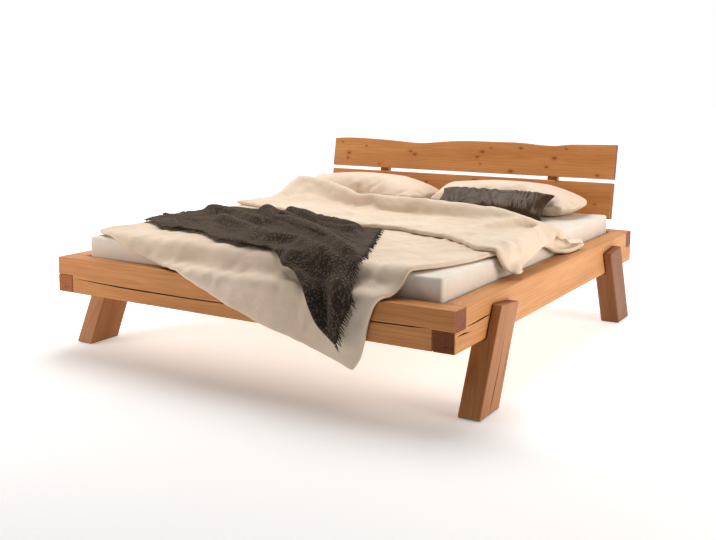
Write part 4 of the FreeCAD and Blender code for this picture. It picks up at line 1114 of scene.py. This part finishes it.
@dataclass
class Throw:
    """Knitted throw, crumpled across the foot half with a fringed corner over the end."""

    columns: int = 84
    rows: int = 58
    thickness: float = 0.007
    lay: float = 0.05
    foot_gap: float = 0.005
    beam_gap: Spot = (0.055, 0.03)
    strands: int = 96
    strand_length: float = 0.03
    strand_root_mm: float = 2.8
    strand_tip_mm: float = 1.2
    fold_rise: float = 0.036
    fold_width: float = 0.036

    HEAD = ((-0.84, -0.10), (-0.55, -0.09), (-0.37, -0.10), (-0.15, -0.20), (0.036, -0.33),
            (0.28, -0.37))
    FOOT = ((-0.86, -0.66), (-0.62, -0.80), (-0.36, -0.83), (-0.20, -0.94), (-0.03, -0.985),
            (0.11, -0.99), (0.18, -1.024), (0.247, -1.07), (0.327, -1.13), (0.393, -1.185),
            (0.445, -1.245), (0.51, -1.305), (0.565, -1.345))
    LEFT = ((-0.86, -0.66), (-0.84, -0.10))
    RIGHT = ((0.565, -1.345), (0.583, -1.31), (0.585, -1.27), (0.59, -1.222), (0.602, -1.165),
             (0.557, -1.0965), (0.546, -1.02), (0.528, -0.937), (0.381, -0.612), (0.28, -0.37))

    FOLDS = (
        ((-0.48, -0.19), (-0.06, -0.48), (0.25, -0.74), (0.46, -0.94)),
        ((0.04, -0.88), (0.16, -0.84), (0.38, -1.0), (0.5, -1.08), (0.545, -1.17), (0.555, -1.27)),
        ((-0.46, -0.57), (-0.14, -0.76), (0.03, -0.87)),
        ((-0.35, -0.16), (-0.05, -0.32), (0.21, -0.46)),
        ((0.25, -1.05), (0.40, -1.17), (0.48, -1.28)),
        ((-0.75, -0.3), (-0.5, -0.38), (-0.3, -0.52)),
    )

    def build(self, obstacles: Sequence[Object]) -> Object:
        """Drape the throw and add its fringe.

        Args:
            obstacles: What the throw lies on.

        Returns:
            The throw.
        """
        cut = Cut(self.FOOT, self.HEAD, self.LEFT, self.RIGHT)
        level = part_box("mattress")[1].z + self.lay
        bm = cut.cloth(self.columns, self.rows, level, ridge_mm=24.0, ridge_turn=-32.0,
                       ridge_run=(420.0, 95.0))
        area = sum(face.calc_area() for face in bm.faces)
        low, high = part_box("foot_beam")
        hang(bm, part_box("mattress")[0].y - self.foot_gap,
             (low.y - self.beam_gap[0], high.z + self.beam_gap[1]), level)
        piece = keep(bm, "knitted_throw")
        settle(piece, Fall(frames=26, gap=0.008, bending=0.3, spare=0.02, damping=4.0,
                           friction=40.0), obstacles)
        swell(piece, self._fold_height)
        width = self.columns + 1
        thicken(piece, self.thickness)
        spots = [v.co.copy() for v in piece.data.vertices]
        rows = [spots[row * width:(row + 1) * width] for row in range(self.rows + 1)]
        finish_piece(piece, KnitFinish("wool_knit"), "knit", "throw")
        fringe = self._fringe([row[-1] for row in rows] + [row[0] for row in rows],
                              [row[-3] for row in rows] + [row[2] for row in rows])
        finish_piece(fringe, ClothFinish("wool_yarn", "#40362F", "#29211C", crease_depth=0.1),
                     "knit")
        return piece

    def _fold_height(self, spot: Vector) -> float:
        """Height of the soft folds at a spot of the throw.

        Args:
            spot: Spot of the throw laid out flat.

        Returns:
            Height in metres.
        """
        height = 0.0
        for line in self.FOLDS:
            for start, end in zip(line, line[1:]):
                share = intersect_point_line(spot, Vector(start).to_3d(), Vector(end).to_3d())[1]
                near = Vector(start).lerp(Vector(end), min(1.0, max(0.0, share)))
                gap = (spot.xy - near).length / self.fold_width
                height = max(height, self.fold_rise * math.exp(-gap * gap))
        return height

    def _fringe(self, edge: list[Vector], inner: list[Vector]) -> Object:
        """Yarn ends along the two short edges.

        Args:
            edge: Points of the right edge and then of the left one.
            inner: Points a little inside them.

        Returns:
            The fringe.
        """
        bm = bmesh.new()
        last = self.rows
        for index in range(self.strands * 2):
            base = (last + 1) * (index // self.strands)
            spot = (index % self.strands) / (self.strands - 1) * last
            low = base + min(int(spot), last - 1)
            share = spot - (low - base)
            start = edge[low].lerp(edge[low + 1], share)
            away = (start - inner[low].lerp(inner[low + 1], share)).normalized()
            away += sway(start * 60) * 0.7
            away.z -= 0.35
            away.normalize()
            length = self.strand_length * (0.75 + 0.5 * abs(noise.noise(start * 90)))
            turn = Vector((0, 0, 1)).rotation_difference(away).to_matrix().to_4x4()
            middle = start + away * length * 0.4
            bmesh.ops.create_cone(bm, cap_ends=True, segments=5, depth=length,
                                  radius1=self.strand_root_mm * MM,
                                  radius2=self.strand_tip_mm * MM,
                                  matrix=Matrix.Translation(middle) @ turn)
        return keep(bm, "throw_fringe")


@dataclass
class Pillow:
    """Feather pillow or small cushion: two panels sewn at the rim and filled."""

    name: str
    node: str
    columns: int
    rows: int
    tilt: float = 0.0
    pressure: float = 5.0
    settle_share: float = 0.25
    give: float = 0.12
    rounding: float = 0.45
    spare_x: float = 1.12
    spare_y: float = 1.25
    panel_gap: float = 0.012
    seam_in: Spot = (0.08, 0.14)
    gathers: float = 34.0
    gather_depth: float = 0.13
    slide: Point = (0.0, 0.0, 0.0)
    size: Point | None = None

    def build(self, finish: object, slot: str, fill: float) -> Object:
        """Sew the two panels and fill them.

        Args:
            finish: Finish of the cover.
            slot: Material slot of the record.
            fill: Tightness of the filling; not used.

        Returns:
            The filled piece.
        """
        low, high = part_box(self.node)
        middle = (low + high) / 2
        wide = high.x - low.x
        turn = Matrix.Rotation(math.radians(self.tilt), 4, "X")
        spread = Vector(self.size) if self.size else high - low
        bm = bmesh.new()
        bmesh.ops.create_grid(bm, x_segments=self.columns, y_segments=self.rows, size=0.5)
        panel = (spread.x * self.spare_x, spread.y * self.spare_y, 1)
        bmesh.ops.scale(bm, vec=panel, verts=bm.verts)
        for vert in bm.verts:
            a = vert.co.x / (panel[0] / 2)
            b = vert.co.y / (panel[1] / 2)
            if self.pressure:
                vert.co.x *= math.sqrt(1 - self.rounding * b * b / 2)
                vert.co.y *= math.sqrt(1 - self.rounding * a * a / 2)
                vert.co.z = noise.noise(Vector((vert.co.x * 11, vert.co.y * 11, wide))) * 3 * MM
            else:
                # A firm filling: it draws the seams in between the corners and into gathers.
                vert.co.x *= 1 - self.seam_in[0] * (1 - b * b) * a * a
                vert.co.y *= 1 - self.seam_in[1] * (1 - a * a) * b * b
                full = max(0.0, (1 - a ** 4) * (1 - b ** 4)) ** 0.55
                gather = math.sin(a * self.gathers
                                  + 12 * noise.noise(Vector((a * 3, b * 0.7, 0.5))))
                pucker = 1 + self.gather_depth * gather * (0.2 + 0.8 * abs(b))
                vert.co.z = -0.12 * spread.x * full * pucker
        thick = bmesh.ops.extrude_face_region(bm, geom=list(bm.faces))
        raised = [v for v in thick["geom"] if isinstance(v, BMVert)]
        if not self.pressure:
            bmesh.ops.scale(bm, vec=(1, 1, -1), verts=raised)
        bmesh.ops.translate(bm, vec=(0, 0, self.panel_gap), verts=raised)
        bmesh.ops.recalc_face_normals(bm, faces=bm.faces)
        steady(bm)
        piece = keep(bm, self.name)
        if self.pressure:
            settle(piece, Fall(frames=24, gap=0.002, bending=0.25, pressure=self.pressure,
                               gravity=0.0, damping=4.0, stiffness=14.0))
        self._fit(piece, spread)
        piece.data.transform(Matrix.Translation(middle + Vector(self.slide)) @ turn)
        smooth(piece)
        finish_piece(piece, finish, slot, self.node)
        return piece

    def _fit(self, piece: Object, spread: Vector) -> None:
        """Bring a filled piece to its size and settle its underside.

        Args:
            piece: The filled piece, round the origin.
            spread: Wanted size.
        """
        spots = [v.co for v in piece.data.vertices]
        low = Vector([min(s[i] for s in spots) for i in range(3)])
        high = Vector([max(s[i] for s in spots) for i in range(3)])
        size = high - low
        floor, give = self.settle_share, self.give
        for vert in piece.data.vertices:
            share = Vector([(vert.co[i] - low[i]) / size[i] for i in range(3)])
            up = max(share.z, floor + give * (share.z - floor))
            up = (up - floor + give * floor) / (1 - floor + give * floor)
            vert.co = ((share.x - 0.5) * spread.x, (share.y - 0.5) * spread.y,
                       (up - 0.5) * spread.z)


@dataclass
class Studio:
    """Pale floor, soft light and the camera."""

    eye: Point = (2.4235, -4.1524, 1.2409)
    yaw: float = 0.567
    pitch: float = -0.1217
    lens: float = 49.08
    shift_x: float = 0.0391
    shift_y: float = -0.0978

    AIM = Vector((0, -0.1, 0.4))

    def _ahead(self) -> Point:
        """Level direction from the camera's place towards the bed."""
        return -math.sin(self.yaw), math.cos(self.yaw), 0.0

    def build(self) -> None:
        """Set floor, lights and camera."""
        bm = bmesh.new()
        bmesh.ops.create_grid(bm, x_segments=8, y_segments=8, size=40.0)
        floor = keep(bm, "studio_floor")
        material, tree, shader = new_material("matt_white_paint")
        seat = add(tree, "TexCoord", out="Object")
        tone = add(tree, "TexNoise", {"Vector": seat, "Scale": 0.6})
        pale = add(tree, "Mix", {"Factor": tone, 6: linear("#F6F8FC"), 7: linear("#F2F4F8")},
                   data_type="RGBA", out=2)
        # The far part of the floor rises into the bright wall behind the bed.
        back = add(tree, "VectorMath", {0: seat, 1: self._ahead()},
                   operation="DOT_PRODUCT", out="Value")
        lit = add(tree, "MapRange", {"Value": back, 1: -1.2, 2: 4.5, 3: 0.1, 4: 0.95},
                  interpolation_type="SMOOTHSTEP")
        # Painted light: the floor glows under the bed and behind it, which washes out the bed's
        # shadow there.
        painted_light_under_bed = add(tree, "MapRange", {"Value": add(tree, "SeparateXYZ", {0: seat}, out=1),
                                       1: -1.4, 2: -0.5, 3: 0.0, 4: 0.55},
                    interpolation_type="SMOOTHSTEP")
        lit = add(tree, "Math", {0: lit, 1: painted_light_under_bed}, operation="MAXIMUM")
        plug(tree, shader, {"Base Color": pale, "Roughness": 0.9, "Emission Strength": lit,
                            "Emission Color": linear("#FFFFFF")})
        floor.data.materials.append(material)
        self._light("key_softbox", (4.6, 0.2, 1.5), 2.6, 110, "#FFF3E6")
        self._light("top_softbox", (-0.6, 0.6, 4.2), 3.4, 150, "#FFFBF5")
        self._light("front_fill", (-2.3, -2.5, 1.0), 1.2, 31, "#FFF4E8")
        self._air()
        bpy.context.scene.view_settings.view_transform = "Standard"
        self._camera()

    def _air(self) -> None:
        """Set the pale studio walls: white ahead of the camera, dimmer behind it."""
        world = bpy.data.worlds.new("studio_air")
        world.use_nodes = True
        tree = world.node_tree
        tree.nodes.clear()
        way = add(tree, "TexCoord", out="Generated")
        ahead = add(tree, "VectorMath", {0: way, 1: self._ahead()},
                    operation="DOT_PRODUCT", out="Value")
        level = add(tree, "MapRange", {"Value": ahead, 1: 0.0, 2: 0.85, 3: 0.12, 4: 1.0},
                    interpolation_type="SMOOTHSTEP")
        sky = add(tree, "Background", {"Color": linear("#FFFFFF"), "Strength": level})
        add(tree, "OutputWorld", {"Surface": sky})
        bpy.context.scene.world = world

    def _light(self, name: str, place: Point, size: float, power: float, colour: str) -> None:
        """Add a soft area light aimed at the bed.

        Args:
            name: Name of the light.
            place: Where it stands.
            size: Side of its square.
            power: Watts.
            colour: Its tint.
        """
        lamp = bpy.data.lights.new(name, "AREA")
        lamp.size = size
        lamp.energy = power
        lamp.color = linear(colour)[:3]
        thing = bpy.data.objects.new(name, lamp)
        thing.location = place
        aim = self.AIM - Vector(place)
        thing.rotation_euler = aim.to_track_quat("-Z", "Y").to_euler()
        bpy.context.scene.collection.objects.link(thing)

    def _camera(self) -> None:
        """Set the camera at the photograph's viewing angle."""
        data = bpy.data.cameras.new("camera")
        data.sensor_width = 36.0
        data.lens = self.lens
        data.shift_x = self.shift_x
        data.shift_y = self.shift_y
        thing = bpy.data.objects.new("camera", data)
        thing.location = self.eye
        thing.rotation_euler = (math.pi / 2 + self.pitch, 0.0, self.yaw)
        bpy.context.scene.collection.objects.link(thing)
        bpy.context.scene.camera = thing


def resting_blocks() -> list[Object]:
    """Rounded boxes in the place of the mattress and the frame, for the cloth to fall on.

    Returns:
        The boxes.
    """
    made = []
    for name, radius in (("mattress", 16), ("foot_beam", 6), ("side_beam_left", 6),
                         ("side_beam_right", 6)):
        low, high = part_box(name)
        made.append(block("rest_" + name, low, high, radius))
    return made


def main() -> None:
    """Build the bed piece by piece."""
    logging.basicConfig(level=logging.INFO, format="%(message)s")
    Timber().build()
    Hardware().build()
    Studio().build()
    rests = resting_blocks()
    Mattress().build()
    duvet = Duvet().build(rests)
    Throw().build([*rests, duvet])
    for rest in rests:
        bpy.data.objects.remove(rest)
    cream = ClothFinish("cream_cotton_sateen", "#E8D5C3", "#E0CCB8", crease_mm=70)
    for side in ("left", "right"):
        Pillow("pillow_cover_" + side, "pillow_" + side, 44, 24, slide=(-0.04, 0, 0)).build(
            cream, "pillow_cloth", 0.7)
    cushion = Pillow("satin_cushion_cover", "satin_cushion", 90, 40, tilt=28.0, settle_share=0.1,
                     pressure=0.0, size=(0.635, 0.225, 0.1), slide=(0.0, -0.006, -0.016))
    cushion.build(SatinFinish("dark_polyester_satin"), "satin", 0.6)


if __name__ == "__main__":
    main()
